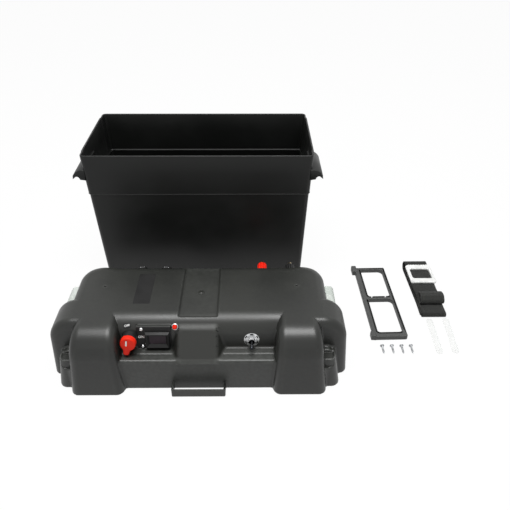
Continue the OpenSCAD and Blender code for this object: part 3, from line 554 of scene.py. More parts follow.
# %% [markdown]
# The lid: a skirt that fits over the case's rim, a raised box with leaning
# panels, two round-shouldered buttresses in front and one at each end, low
# lobes in the corners, a sloping block for the strap and a bracket at its
# foot. Sculpting it would be quick but hard to size, and booleans would
# leave sharp joins, so all of it is one field in the lid's own frame,
# hollowed by 3 mm.

# %% Where things are on the lid
LID = np.array([10.0, -274.0, 0.0])
SHELF, TOP, WALL = 61.0, 113.0, 3.0
FRONT_LEAN, REAR_LEAN = math.radians(7), math.radians(4)
# Half lengths (x) and half depths (y) at the shelf, or at the foot for bulges
SKIRT_X, SKIRT_Y, BOX_X, FRONT_Y, REAR_Y = 210, 102, 212, 73, 89
FRONT_BULGE_X, FRONT_BULGE_Y, END_BULGE_X, END_BULGE_Y, LOBE_X, LOBE_Y = (119, 205), 117, 243, -36, 228, -62
BLOCK_X, BLOCK_TOP = 31, 101.5


def front_panel(x, z):
    """Origin and axes of a spot on the control panel, in the part's frame."""
    y = -(FRONT_Y - (z - SHELF) * math.tan(FRONT_LEAN))
    return (LID + (x, y, z), (1, 0, 0), (0, math.sin(FRONT_LEAN), math.cos(FRONT_LEAN)),
            (0, -math.cos(FRONT_LEAN), math.sin(FRONT_LEAN)))


def rear_panel(x, z):
    """Origin and axes of a spot on the rear panel, across it from behind."""
    y = REAR_Y - (z - SHELF) * math.tan(REAR_LEAN)
    return (LID + (x, y, z), (-1, 0, 0), (0, -math.sin(REAR_LEAN), math.cos(REAR_LEAN)),
            (0, math.cos(REAR_LEAN), math.sin(REAR_LEAN)))


KEY, METER, TOGGLE = front_panel(-107, 85), front_panel(-63.5, 80.6), front_panel(85, 78.5)
PLATE = front_panel(-69, 83.25)
RESET_SPOT = (LID + (-35.5, -65.47, 101.62), (1, 0, 0), (0, 0.54464, 0.83867), (0, -0.83867, 0.54464))
OFF_SPOT = (LID + (-110.4, -63.4, 102.3), (1, 0, 0), (0, 0.62932, 0.77715), (0, -0.77715, 0.62932))
SOCKET_X, SOCKET_Z = {"left": -112, "right": -68.5}, 81
POSTS = {"red": (104.5, 83), "black": (156, 80)}


def seen_from(spot, x, y, z):
    """A lid point as (across, up, out) of a panel's spot."""
    origin, *axes = spot
    dx, dy, dz = (v - o for v, o in zip((x, y, z), np.asarray(origin) - LID))
    return [dx * a[0] + dy * a[1] + dz * a[2] for a in axes]


print("lid is", TOP, "mm high, its shelf", SHELF, "mm")

# %% The lid's outside


def lid_body(x, y, z):
    """Skirt, box, buttresses, lobes and strap block, each the meet of its
    walls, and all of them welded with fillets."""
    u = np.abs(x)
    step = 1.3 * np.clip((y + 87) / 2.5, 0, 1) + 0.05 * np.clip(y + 85, 0, 15)
    ledge = SHELF + step * (y < -60)
    skirt = blunt(blunt(u - SKIRT_X, np.abs(y) - SKIRT_Y, 14), z - ledge, 3)
    panels = np.maximum(lean(-y, FRONT_Y, 7, z, SHELF), lean(y, REAR_Y, 4, z, SHELF))
    shoulder = 25 - 10 * np.clip((u - 150) / 45, 0, 1)
    box = blunt(blunt(panels, lean(u, BOX_X, 1, z), 42), z - TOP, shoulder)
    body = weld(skirt, box, 3)
    # The bulges' tops are flush with the box's: a fillet would crease there,
    # so it fades out below the top, and above that the two are just joined.
    fillet, low = 0.01 + 4 * np.clip((TOP - 6 - z) / 25, 0, 1), z < TOP - 5
    inner_side, outer_side = lean(-u, -FRONT_BULGE_X[0], 3, z), lean(u, FRONT_BULGE_X[1], 6, z)
    front = blunt(blunt(lean(-y, FRONT_BULGE_Y, 4, z), z - TOP, 40), inner_side, 14)
    front = np.maximum(blunt(front, outer_side, 13), y + 10)
    end_sides = lean(np.abs(y - END_BULGE_Y), 36, 2, z)
    end = np.maximum(blunt(blunt(lean(u, END_BULGE_X, 4, z), z - TOP, 38), end_sides, 13), 150 - u)
    for bulge in (front, end):
        body = np.where(low, weld(body, bulge, fillet), np.minimum(body, bulge))
    lobe = blunt(blunt(lean(u, LOBE_X, 9.3, z), np.abs(y - LOBE_Y) - 38, 14), z - SHELF, 3)
    body = weld(body, lobe, 4)
    slope_face = (-(y + SKIRT_Y) * 40 + (z - SHELF) * 33.4) / 52.1
    slope_side = (u - BLOCK_X) * 0.875 - (y + SKIRT_Y) * 0.3675 + (z - SHELF) * 0.315
    block = blunt(blunt(slope_face, slope_side, 5), z - BLOCK_TOP, 4)
    return weld(body, np.maximum(np.maximum(block, 58 - z), y + 51), 4)


def lid_cuts(x, y, z, grow):
    """A finger pocket in each corner lobe: a flat ledge and a U-shaped
    scoop below it. Both grow by the given amount."""
    u = np.abs(x)
    ledge = blunt(np.abs(u - 207) - 8 - grow, SHELF - 1.8 - grow - z, 2)
    ledge = np.maximum(ledge, y + 80 - grow)
    scoop_low = np.hypot(u - 207, np.minimum(z - 51, 0)) - 8 - grow
    scoop = np.maximum(scoop_low, y + 97 - grow)
    pocket = np.maximum(weld(ledge, scoop, 2.5), -104 - y)
    return np.maximum(pocket, 30 - z)


def strap_channel(x, y, z, grow):
    """A shallow channel along the top, which the strap lies in."""
    return blunt(blunt(np.abs(x) - 30.5 - grow, -52 - grow - y, 3), 110.2 - grow - z, 1.5)


# %% The lid's holes and shell
# Each hole: its spot, its radius, and whether a seat goes round it
HOLES = [(KEY, 8.0, False), (TOGGLE, 6.1, False), (RESET_SPOT, 4.2, False)]
HOLES += [(rear_panel(x, SOCKET_Z), 13.25, True) for x in SOCKET_X.values()]
HOLES += [(rear_panel(x, z), 4.3, True) for x, z in POSTS.values()]


def lid_field(x, y, z):
    """Outside minus cuts, minus the same drawn in by the wall, minus holes,
    plus seats and brackets, cut off flat at the foot."""
    body = lid_body(x, y, z)
    shell = carve(carve(body, lid_cuts(x, y, z, 0), 2.4), strap_channel(x, y, z, 0), 2.6)
    hollow = carve(body + WALL + 0.8, lid_cuts(x, y, z, WALL + 0.8), 0.5)
    hollow = carve(hollow, strap_channel(x, y, z, WALL + 0.8), 0.5)
    shell = carve(shell, hollow, 1)
    across, up, out = seen_from(PLATE, x, y, z)
    seat = np.maximum(np.maximum(np.abs(across) - 27, np.abs(up) - 21.25), np.maximum(out, -5 - out))
    shell = np.minimum(shell, seat)
    for spot, radius, seated in HOLES:
        across, up, out = seen_from(spot, x, y, z)
        reach = np.hypot(across, up)
        if seated:
            shell = np.minimum(shell, np.maximum(reach - radius - 4, np.maximum(out, -6 - out)))
        shell = carve(shell, np.maximum(reach - radius, np.abs(out) - 20), 0.4)
    across, up, out = seen_from(METER, x, y, z)
    shell = carve(shell, np.maximum(np.maximum(np.abs(across) - 17, np.abs(up) - 12), np.abs(out) - 20), 0.4)
    vents = np.maximum(np.hypot(np.abs(x) - 161, y - 21) - 2, 100 - z)
    shell = carve(shell, vents, 0.3)
    u, v = np.abs(x), np.abs(y)
    bracket = blunt(blunt(blunt(u - 43, np.abs(v - 110) - 10, 1.5), z - 16, 1), -z, 0.7)
    bracket = carve(bracket, np.maximum(u - 40, np.abs(v - 109) - 8), 0.7)
    return weld(blunt(shell, -z, 1), bracket, 1)


# %% Netting the lid
STEP = 1.9
lid_lines = [
    marks(-249, 249, STEP, [(-207, 9, 1.1), (-161, 3.5, 0.6), (161, 3.5, 0.6), (207, 9, 1.1)]),
    marks(-125, 125, STEP, [(21, 3.5, 0.6), (-99, 3, 1.0)]),
    marks(-3, 117, STEP, [(58.5, 4, 1.0)]),
]
lid_points, lid_faces = netted(lid_field, lid_lines, 0.6 * STEP)
print("lid net", len(lid_points), "points", len(lid_faces[0]), "faces")

# %% Thinning the lid
# Flat places need fewer faces than the shoulders do. The Decimate modifier
# thins them, and the points are settled onto the field again afterwards.
MOST_TRIANGLES = 188000
raw = piece("lid_raw", (lid_points + LID, lid_faces), "lid", "lid_plastic")
thin = raw.modifiers.new("thin", "DECIMATE")
thin.ratio = min(1.0, MOST_TRIANGLES / (2 * len(lid_faces[0])))
thinned, lid_faces = baked(raw)
lid_points = settle(lid_field, thinned / MM - LID, 0.6, 1)
lid = piece("lid_moulding", (lid_points + LID, lid_faces), "lid", "lid_plastic")
shade_by(lid, lid_field, LID)
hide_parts("lid_shell")

# %% Where the lid's edges are
# The field's value averaged over six near points, less its own value, is
# large on an outer edge and zero on a flat face.
near = np.vstack([np.eye(3), -np.eye(3)]) * 2.5
edge_value = sum(lid_field(*(lid_points + s).T) for s in near) / 6 - lid_field(*lid_points.T)
edge_layer = lid.data.attributes.new("edge", "FLOAT", "POINT")
edge_layer.data.foreach_set("value", np.clip((edge_value - 0.12) / 0.5, 0, 1).astype(np.float32))
print("lid", len(lid.data.polygons), "triangles, edge mean", round(float(edge_value.mean()), 3))

# %% [markdown]
# A smooth blank pad lies in the lid's top, where a label could go, and a
# small disc marks where the plastic entered the mould. Both could be cut
# into the field, but they are finer than its net, so they are thin lofts
# that stand in the surface.

# %% Blank pad and gate mark
pad = slab(27.6, 77.6, 2.2, 112.3, 113.15, 0.25)
piece("blank_pad", moved(pad, LID + (-94, 15, 0)), "lid", "black_plastic", sharp=40)
gate = turned([(1.0, 110.2), (5.2, 110.3), (5.6, 110.75), (4.8, 110.95), (1.6, 110.8), (0.8, 111.5),
               (0.3, 111.6)])
piece("gate_mark", moved(gate, LID + (1.3, 6.5, 0)), "lid", "lid_plastic", sharp=50)
print("pad and gate mark made")

# %% [markdown]
# The case is a deep tray with a little draft. The top 78 mm stands out by a
# step, each end has a shallow panel, and a rounded lug on each end is there
# to lift it by. A bevelled box would do from afar, but the wall leans and
# steps. So a stack of rounded rectangles follows the outside up, over the
# lip and down inside, and wall, lip and floor are one closed surface.

# %% Size of the case at a height
RIM, BAND, LENGTH, WIDTH, CORNER = 276.0, 198.0, 410.0, 194.0, 8.0
BAND_STEP, PANEL_OUT, PANEL_HALF = 1.2, 1.4, 75.0
END_DRAFT, SIDE_DRAFT = math.tan(math.radians(2.1)), math.tan(math.radians(1.0))


def case_half(z, inset):
    """Half length and half width of the wall at height z: the rim's size
    less the draft below it, and less the step below the band."""
    below = BAND_STEP * (1 - np.clip((z - BAND + 0.6) / 1.2, 0, 1))
    return (LENGTH / 2 - (RIM - z) * END_DRAFT - below - inset,
            WIDTH / 2 - (RIM - z) * SIDE_DRAFT - below - inset)


def case_ring(z, inset, panel=1.0):
    """A ring of the case: four rounded corners, and on each end wall eight
    points that step out to the middle panel."""
    half_x, half_y = case_half(z, inset)
    reach = PANEL_HALF - inset
    side = np.array([[-1.2, 0], [-0.7, 0.25], [-0.2, 0.8], [0.6, 1]])
    ys = np.concatenate([-reach + side[:, 0], (reach - side[:, 0])[::-1]])
    outs = np.concatenate([side[:, 1], side[::-1, 1]]) * PANEL_OUT * panel
    corner = rounded(2 * half_x, 2 * half_y, max(CORNER - inset, 0.9)).reshape(4, -1, 2)
    east = np.column_stack([half_x + outs, ys])
    return level_ring(np.vstack([east, corner[0], corner[1], -east, corner[2], corner[3]]), z)


print("case", LENGTH, "x", WIDTH, "x", RIM, "mm")


# %% Outside, lip and inside
# Each step: height, how far in from the outer wall, and how much of the end
# panel there is. A small bead runs along the band's foot.
steps = [(0.0, 4.5, 0), (0.0, 3.0, 0), (0.35, 1.6, 0), (1.2, 0.5, 0), (2.6, 0.0, 0), (100, 0, 0)]
steps += [(BAND - 1.0, 0, 0), (BAND - 0.6, 0, 0), (BAND - 0.2, 0, 0.4), (BAND + 0.25, 0, 0.85)]
steps += [(BAND + 0.6, 0, 1)]
steps += [(BAND + 0.9, -0.4, 1), (BAND + 1.2, -0.5, 1), (BAND + 1.4, -0.42, 1), (BAND + 1.75, 0, 1)]
steps += [(240, 0, 1), (RIM - 1.3, 0, 1), (RIM - 0.55, 0.2, 1), (RIM - 0.12, 0.7, 1), (RIM, 1.5, 1)]
steps += [(RIM - 0.12, 2.3, 1), (RIM - 0.55, 2.8, 1), (RIM - 1.3, 3, 1), (240, 3, 1)]
steps += [(BAND + 3.9, 3, 1), (BAND + 3.1, 3.0, 0.5), (BAND + 2.4, 3.0, 0), (BAND + 2.1, 3.08, 0)]
steps += [(BAND + 0.7, 4.7, 0), (BAND + 0.3, 4.6, 0), (BAND - 0.2, 4.0, 0), (BAND - 0.6, 3.4, 0)]
steps += [(BAND - 3, 3, 0), (100, 3, 0), (8.5, 3, 0), (6.0, 3.7, 0), (4.6, 5.1, 0)]
steps += [(4.0, 7.2, 0), (4.0, 7.8, 0)]
case_wall = loft([case_ring(*step) for step in steps])
print("case wall has", len(steps), "rings")

# %% Lugs and floor ribs
# The lug's profile is a quarter disc whose underside rises outwards and has
# a round bite for the fingers. It is carried along the end wall.
LUG_R, LUG_Z, LUG_Y = 21.0, 227.0, (-95.5, -15.5)
sweep = np.linspace(math.asin(0.40), math.pi / 2, 12)
top = np.column_stack([np.cos(sweep), np.sin(sweep)]) * LUG_R
bite_at, bite_r = np.array([13.0, 0.2]), 7.4
bite = np.linspace(math.radians(20), math.radians(172), 9)
under = bite_at + bite_r * np.column_stack([np.cos(bite), np.sin(bite)])
profile = np.vstack([[(-4.0, 0.0)], [(2.0, 0.9)], under[::-1], [(19.0, 7.6)], top, [(-4.0, LUG_R)]])
middle = profile.mean(0)
pull = (profile - middle) / np.linalg.norm(profile - middle, axis=1, keepdims=True)
lug_ends = [(LUG_Y[0], 1.6), (LUG_Y[0] + 0.5, 0.5), (LUG_Y[0] + 1.6, 0)]
lug_ends += [(LUG_Y[1] - 1.6, 0), (LUG_Y[1] - 0.5, 0.5), (LUG_Y[1], 1.6)]
lugs = []
for side in (-1, 1):
    rings = []
    for y, inset in lug_ends:
        out, up = (profile - pull * inset).T
        rings.append(np.column_stack([side * (LENGTH / 2 - 0.6 + out), np.full(len(out), y), LUG_Z + up]))
    lugs.append(loft(rings))
rib = slab(3, 176, 1.2, 3.6, 6.4, 0.6, 3)
ribs = [moved(rib, (k * 77.4, 0, 0)) for k in (-1.5, -0.5, 0.5, 1.5)]
case_piece = piece("case_moulding", joined(case_wall, *lugs, *ribs), "case", "case_plastic", sharp=42)
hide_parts("case_shell")
print("case", len(case_piece.data.polygons), "faces")

# %% [markdown]
# The spacer frame keeps a smaller battery from sliding. It is a flat plate
# with two windows, and grooves along its bars. A curve with holes could be
# extruded, but its grooves and soft corners come at once from a field, at a
# finer step than the lid's.

# %% Spacer frame
FRAME_AT, FRAME_TURN = np.array([340.8, -169.5, 0.0]), 1.3
OUTLINE, UPPER, LOWER = ((0, 0), (61, 200)), ((3.2, 52.2), (44.5, 84)), ((2.2, -43.2), (46.5, 90))
LUGS = ((-31.75, 95.5), (9.5, 19)), ((-30.75, -93.5), (8.5, 13))


def box_field(x, y, at, size, r):
    """Inside a rectangle round the point `at` with corners of radius r."""
    return blunt(np.abs(x - at[0]) - size[0] / 2, np.abs(y - at[1]) - size[1] / 2, r)


def frame_field(x, y, z):
    """Plate less two windows, two nicks and the grooves along two sides of
    each bar, plus two lugs on its left."""
    edge_in = box_field(x, y, *OUTLINE, 3.5)
    plate = blunt(edge_in, np.abs(z - 4.5) - 4.5, 1.0)
    round_in = np.where(x > 3, 9.0, 5.0)
    upper, lower = box_field(x, y, *UPPER, round_in), box_field(x, y, *LOWER, round_in)
    nicks = np.hypot(np.abs(x - 1) - 13, y - 9.9) - 0.9
    plate = carve(plate, np.minimum(np.minimum(upper, lower), nicks), 0.9)
    far_side = (x * 100 + y * 30.5) / 104.5
    groove = np.maximum(np.abs(edge_in + 2.2) - 1.5, 2 - far_side)
    for window, (middle, _) in ((upper, UPPER), (lower, LOWER)):
        near_side = ((x - middle[0]) * 44 + (y - middle[1]) * 22.5) / 49.4
        groove = np.minimum(groove, np.maximum(np.abs(window - 2.2) - 1.5, 2 + near_side))
    plate = carve(plate, np.maximum(groove, 3 - z), 0.2)
    lugs = np.minimum(*(box_field(x, y, *lug, 1.5) for lug in LUGS))
    return weld(plate, blunt(lugs, np.abs(z - 5.5) - 5.5, 1.2), 1.5)


frame_shape = netted(frame_field, [marks(-38, 33, 0.7), marks(-103, 108, 0.7), marks(-2, 13, 0.8)], 0.35)
frame_shape = moved(spun(frame_shape, FRAME_TURN), FRAME_AT)
frame_piece = piece("spacer_plate", frame_shape, "spacer_frame", "frame_plastic")


def frame_seen(x, y, z):
    """The same field, asked for in the part's frame."""
    back, _ = spun((np.stack([x, y, z], -1) - FRAME_AT, None), -FRAME_TURN)
    return frame_field(*back.T)


shade_by(frame_piece, frame_seen)
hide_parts("spacer_frame")
print("spacer frame", len(frame_piece.data.polygons), "faces")

# %% [markdown]
# The strap is one length of 45 mm webbing, folded to and fro, with its end
# turned back over the last fold. Its middle line is a path in the y-z
# plane: runs joined by half circles. A flat ribbon with rounded edges is
# carried along it, and the runs lie a little askew, as a real strap's do.
# The two top runs sag and rise between their ends, so they have heights of
# their own.

# %% The strap's path
STRAP_X, STRAP_W, STRAP_T = 434.0, 45.0, 1.5
# Each run: start and end along y, start and end height
RUNS = [(-193, -76, 5.05, 5.05), (-76, -206, 2.9, 2.9), (-206, -74, 7.2, 7.2), (-74, -208, 9.35, 9.35),
        (-208, -69, 0.75, 0.75), (-69, -183, 21.5, 12.0), (-183, -158.3, 20.6, 19.0)]
# Share of the run and height there, for the runs that aren't plain
SAGS = {5: ([0, 0.04, 0.1, 0.65, 0.8, 0.92, 1], [21.5, 20.9, 17.9, 17.9, 16.3, 12.9, 12]),
        6: ([0, 0.3, 0.7, 1], [20.6, 22.4, 21.6, 19.0])}
path = []
for k, (start, end, low, high) in enumerate(RUNS):
    along = np.linspace(0, 1, 31)
    height = low + (high - low) * along * along * (3 - 2 * along)
    if k in SAGS:
        height = np.interp(along, *SAGS[k])
    path.append(np.column_stack([start + (end - start) * along, height]))
    if k + 1 < len(RUNS):
        rise = (RUNS[k + 1][2] - high) / 2
        bow = np.linspace(0, math.pi, 13)[1:-1]
        way = 1 if end > start else -1
        path.append(np.column_stack([end + way * abs(rise) * np.sin(bow), high + rise * (1 - np.cos(bow))]))
path = np.vstack(path)
run = np.concatenate([[0], np.cumsum(np.linalg.norm(np.diff(path, axis=0), axis=1))])
print("strap path", round(float(run[-1]), 1), "mm")

# %% The ribbon
# Its section is a flat oval of 22 points. It drifts sideways along its
# length and its two edges lift a little by turns.
tangent = np.gradient(path, axis=0)
tangent /= np.linalg.norm(tangent, axis=1, keepdims=True)
normal = np.column_stack([-tangent[:, 1], tangent[:, 0]])
flat = np.linspace(-1, 1, 10) * (STRAP_W / 2 - 0.6)
across = np.concatenate([flat, [STRAP_W / 2], flat[::-1], [-STRAP_W / 2]])
thick = np.concatenate([np.full(10, 0.5), [0], np.full(10, -0.5), [0]]) * STRAP_T
drift = np.interp(run, [0, 120, 260, 390, 530, 660, 700, 790, 822, 852],
                  [0.5, 1.6, -0.8, 1.2, 1.8, -0.6, -1.2, -1.6, 1.5, 5.5])
ripple = 0.22 * np.sin(run[:, None] / 9.0 + across[None, :] / 11.0)
off = thick[None, :] + ripple * (np.abs(across) / 22.5) ** 3 * (run > 690)[:, None]
rings = np.stack([STRAP_X + drift[:, None] + across[None, :],
                  path[:, :1] + normal[:, :1] * off, path[:, 1:] + normal[:, 1:] * off], -1)
strap = piece("webbing_strap", loft(rings), "strap", "webbing", sharp=60)
cut = strap.data.uv_layers.new(name="cut")
flat_uv = np.column_stack([np.repeat(run, len(across)), np.tile(across, len(run))])
flat_uv = np.vstack([flat_uv, [run[0], 0], [run[-1], 0]]) * MM
corner_of = np.empty(len(strap.data.loops), np.int32)
strap.data.loops.foreach_get("vertex_index", corner_of)
cut.data.foreach_set("uv", flat_uv[corner_of].astype(np.float32).ravel())
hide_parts("strap_webbing")
print("strap", len(strap.data.polygons), "faces")

# %% [markdown]
# The buckle is a white moulded frame. One bar has a row of small teeth that
# grip the webbing. A bevelled frame would have edges too even for a
# moulding, and it is small enough for a net with a step of 0.6 mm.

# %% Buckle
BUCKLE_AT = np.array([434.0, -107.0, 19.05])


def buckle_field(x, y, z):
    """Rounded plate less its window, with eight teeth on the far bar."""
    plate = blunt(box_field(x, y, (0, 0), (50, 56), 5), np.abs(z - 2.25) - 2.25, 1.6)
    plate = carve(plate, box_field(x, y, (0, 0), (38, 30), 4), 1.2)
    tooth = np.hypot((x + 20.4) % 5.1 - 2.55, y - 27.4) - 2.1
    teeth = blunt(np.maximum(tooth, np.abs(x) - 20.4), np.abs(z - 2.25) - 1.9, 0.8)
    return weld(plate, teeth, 0.6)


buckle = netted(buckle_field, [marks(-27, 27, 0.6), marks(-30, 31.5, 0.6), marks(-1.2, 5.8, 0.5)], 0.3)
buckle_piece = piece("strap_buckle_frame", moved(buckle, BUCKLE_AT), "strap", "white_plastic")
shade_by(buckle_piece, buckle_field, BUCKLE_AT)
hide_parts("strap_buckle")
print("buckle", len(buckle_piece.data.polygons), "faces")

# %% [markdown]
# The controls stand on the leaning panel. Each is made in the panel's own
# frame, where z points straight out of it, and then placed, which is easier
# than drawing it askew. Screws share one recipe: a domed head with a cross
# sunk into it. The cross is real geometry, because light on a screw is what
# tells the eye that it is one.

# %% Cross-head screws


def pan_head(radius, height, recess):
    """A field for a screw's head: a dome less a cross of two tapered bars."""
    def field(x, y, z):
        ball = (radius * radius + height * height) / (2 * height)
        dome = blunt(np.sqrt(x * x + y * y + (z - height + ball) ** 2) - ball,
                     np.hypot(x, y) - radius, 0.25)
        dome = blunt(dome, -z - 0.2, 0.1)
        bar = np.minimum(np.maximum(np.abs(x) - 0.11 * radius, np.abs(y) - 0.55 * radius),
                         np.maximum(np.abs(y) - 0.11 * radius, np.abs(x) - 0.55 * radius))
        taper = 0.35 * (height - z)
        return carve(dome, np.maximum(bar + taper, height - recess - z), 0.08)
    return field


def small_net(field, reach, low, high, step):
    """A net over a small piece that is centred on the z axis."""
    grid = marks(-reach - 2 * step, reach + 2 * step, step)
    return netted(field, [grid, grid, marks(low - 2 * step, high + 2 * step, step)], step / 2)


head = small_net(pan_head(3.2, 2.2, 1.5), 3.2, 0, 2.2, 0.28)
shank = turned([(1.4, -6), (1.45, -5.8), (1.45, 1.7)], 20)
screws = []
for k, z in enumerate((67, 100)):
    spot = front_panel(-88, z)
    screws += [placed(spun(moved(head, (0, 0, 1.6)), 20 + 50 * k), *spot), placed(shank, *spot)]
plate_screws = piece("plate_screw_heads", joined(*screws), "lid", "bright_steel", sharp=40)
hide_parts("plate_screws")
print("screw head", len(head[0]), "points")

# %% [markdown]
# The red key of the battery switch is a round knob with a tab that points
# at OFF or ON, and a groove filled with white. It stands on a dark collar,
# turned a few degrees from straight down. Disc and tab flow together, so the
# key is a small field, and the collar, which is round, is a turned profile.

# %% Switch key
KEY_LEAN, KEY_Z = -7, 12


def key_field(x, y, z):
    """Disc and tab with a soft edge, less the groove for the white line."""
    tab = blunt(np.abs(x + 2) - 5.2, np.abs(y + 10) - 11.5, 4.2)
    plan = weld(np.hypot(x, y) - 12.5, tab, 3)
    body = blunt(plan + 0.10 * np.maximum(z - 3, 0), np.abs(z - 4.5) - 4.5, 1.3)
    step = blunt(np.hypot(x, y) - 10.6, np.abs(z - 8.7) - 0.55, 0.4)
    body = weld(body, step, 0.4)
    return carve(body, np.maximum(blunt(np.abs(x + 2.4) - 1.35, np.abs(y - 2) - 5, 0.8), 8.55 - z), 0.15)


key = small_net(key_field, 22, 0, 9.4, 0.55)
stem = turned([(6, -9), (6, 12.4)], 32)
key_shape = joined(spun(moved(key, (0, 0, KEY_Z)), KEY_LEAN), stem)
key_piece = piece("switch_key_knob", placed(key_shape, *KEY), "switch_key", "red_plastic", sharp=50)
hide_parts("switch_key")
line = spun(moved(slab(2.5, 9.6, 0.7, 20.4, 21.05, 0.12, 4), (-2.4, 2, 0)), KEY_LEAN)
piece("key_index_line", placed(line, *KEY), "switch_key", "white_plastic", sharp=50)
bush = turned([(6.3, -4), (6.3, 10.6), (6.8, 11), (11.2, 11), (11.9, 10.4), (12, 9.5), (12, 1.4), (12.8, 1.0),
               (12.8, 0.0), (7.8, 0), (7.8, -4)], 56, "looped")
bush_piece = piece("switch_collar", placed(bush, *KEY), "lid", "black_plastic", sharp=40)
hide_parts("switch_bush")
print("switch key", len(key[0]), "points")

# %% [markdown]
# A thin black plate carries the meter and its two screws. A flat box would
# be enough but for its holes, so it is a shallow field with both cut out.

# %% Control plate


def plate_field(x, y, z):
    """A thin plate with soft corners, less the holes behind the switch and
    the meter."""
    plate = blunt(box_field(x, y, (0, 0), (54, 42.5), 3), np.abs(z - 0.8) - 0.8, 0.4)
    holes = np.minimum(np.hypot(x + 38, y - 1.8) - 12.2, box_field(x, y, (5.5, -2.65), (34.4, 24.4), 1))
    return carve(plate, holes, 0.2)


plate = netted(plate_field, [marks(-29, 29, 0.7), marks(-23, 23, 0.7), marks(-0.9, 2.5, 0.4)], 0.3)
plate_piece = piece("control_panel_plate", placed(plate, *PLATE), "lid", "black_plastic", sharp=50)
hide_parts("control_plate")
print("control plate", len(plate[0]), "points")

# %% [markdown]
# ON and OFF are moulded in white. Blender's own font gives the outlines,
# which become a mesh before they are placed. ON stands on the control
# plate, OFF on a small tile of its own where the panel bends back.

# %% Raised letters


def letters(name, word, size, spot, at, degrees):
    """A word as a thin mesh, centred at a point of a panel and turned."""
    curve = bpy.data.curves.new(name, "FONT")
    curve.body, curve.size, curve.extrude = word, size, 0.12
    curve.align_x, curve.align_y, curve.resolution_u = "CENTER", "CENTER", 3
    curve.offset = size * 0.03
    text = bpy.data.objects.new(name + "_curve", curve)
    bpy.context.scene.collection.objects.link(text)
    shape = moved(spun(baked(text), degrees), at)
    return piece(name, placed(shape, *spot), "lid", "white_plastic", smooth=False)


TILE_LEAN = 8
letters("word_on", "ON", 6.4, KEY, (18.0, 0.4, 1.75), 0)
tile = spun(slab(11.2, 8.2, 1.0, -1.1, 0.6, 0.2), TILE_LEAN)
piece("off_tile", placed(tile, *OFF_SPOT), "lid", "black_plastic", sharp=40)
letters("word_off", "OFF", 4.9, OFF_SPOT, (0, 0, 0.72), TILE_LEAN)
print("labels made")

# %% [markdown]
# The voltmeter: a bevelled black bezel round a dark window. Its mouldings
# are rectangular rings of different sizes, lofted and closed on themselves.

# %% Voltmeter bezel
# Each ring: width, height, corner radius, and how far out it stands
BEZEL = [(26.4, 15.4, 0.4, 1.6), (39.4, 29.4, 1.2, 1.6), (40, 30, 1.4, 2.0), (40, 30, 1.4, 3.2),
         (39.7, 29.7, 1.3, 3.5), (36.2, 26.2, 1.1, 6.9), (35.6, 25.6, 1.0, 7.4), (34.8, 24.8, 0.9, 7.55),
         (33.6, 23.2, 0.8, 7.3), (28.4, 17.2, 0.6, 4.0), (27.0, 15.8, 0.5, 3.6), (26.4, 15.4, 0.4, 3.2)]
bezel = loft([level_ring(rounded(*size, 3), z) for *size, z in BEZEL], "looped")
bezel_piece = piece("meter_bevels", placed(bezel, *METER), "lid", "black_plastic", sharp=28)
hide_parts("meter_bezel")
print("bezel of", len(BEZEL), "rings")

# %% [markdown]
# The breaker's reset is a small red button in a bright ring, on the round
# shoulder above the panel. Anything round is quickest as a profile, drawn
# once and turned about its own middle.

# %% Reset button in its ring
ring = turned([(3.8, -0.6), (5.3, -0.6), (5.5, -0.4), (5.5, 0.5), (5.2, 1.1), (4.7, 1.7), (4.3, 1.85),
               (3.95, 1.7), (3.8, 1.3)], 48, "looped")
ring_piece = piece("reset_ring", placed(ring, *RESET_SPOT), "lid", "bright_steel", sharp=40)
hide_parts("breaker_ring")
button = turned([(2.65, -14), (2.65, -1), (3.5, -0.5), (3.5, 3.6), (3.35, 4.1), (2.9, 4.45), (1.9, 4.6),
                 (0.6, 4.5)], 40)
button = placed(button, *RESET_SPOT)
button_piece = piece("reset_push_button", button, "reset_button", "red_plastic", sharp=40)
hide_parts("reset_button")
print("reset button made")

# %% [markdown]
# The toggle switch: a bright index plate with six black dashes round it, a
# hexagon nut, a threaded bush and a bat-shaped lever. The dashes are thin
# solids, not paint, so they stay sharp in the baked model.

# %% Index plate
disc = turned([(6.1, 0), (12.2, 0), (12.5, 0.25), (12.5, 0.7), (12.2, 1.0), (6.1, 1.0)], 64, "looped")
disc_piece = piece("toggle_index_plate", placed(disc, *TOGGLE), "lid", "bright_steel", sharp=40)
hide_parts("toggle_plate")
arc = np.radians(np.linspace(-15, 15, 7) + 30)
along_arc = np.column_stack([np.cos(arc), np.sin(arc)])
dash_ring = np.vstack([along_arc * 11.6, along_arc[::-1] * 9.4])
dash = loft([level_ring(dash_ring, z) for z in (0.8, 1.08)])
dashes = [spun(dash, 60 * k) for k in range(6)]
piece("toggle_index_marks", placed(joined(*dashes), *TOGGLE), "lid", "black_gloss", sharp=40)
print("index plate with", len(dashes), "dashes")

# %% Nut, bush and lever


def hexagon(across_flats, count=48):
    """A regular hexagon's ring, with its corners a little rounded off."""
    wedge = (np.arange(count) * 2 * np.pi / count + np.pi / 6) % (np.pi / 3) - np.pi / 6
    return circle(np.minimum(across_flats / 2 / np.cos(wedge), across_flats / 2 * 1.13), count)


def nut(across_flats, bore, low, high):
    """A chamfered nut: hexagon rings with a smaller, rounder ring at both
    faces, and a bore through it."""
    inside, bevel, flats = circle(bore / 2), circle(across_flats / 2 * 0.97), hexagon(across_flats)
    order = [(inside, low), (bevel, low), (flats, low + 0.5)]
    order += [(flats, high - 0.5), (bevel, high), (inside, high)]
    return loft([level_ring(ring, z) for ring, z in order], "looped")


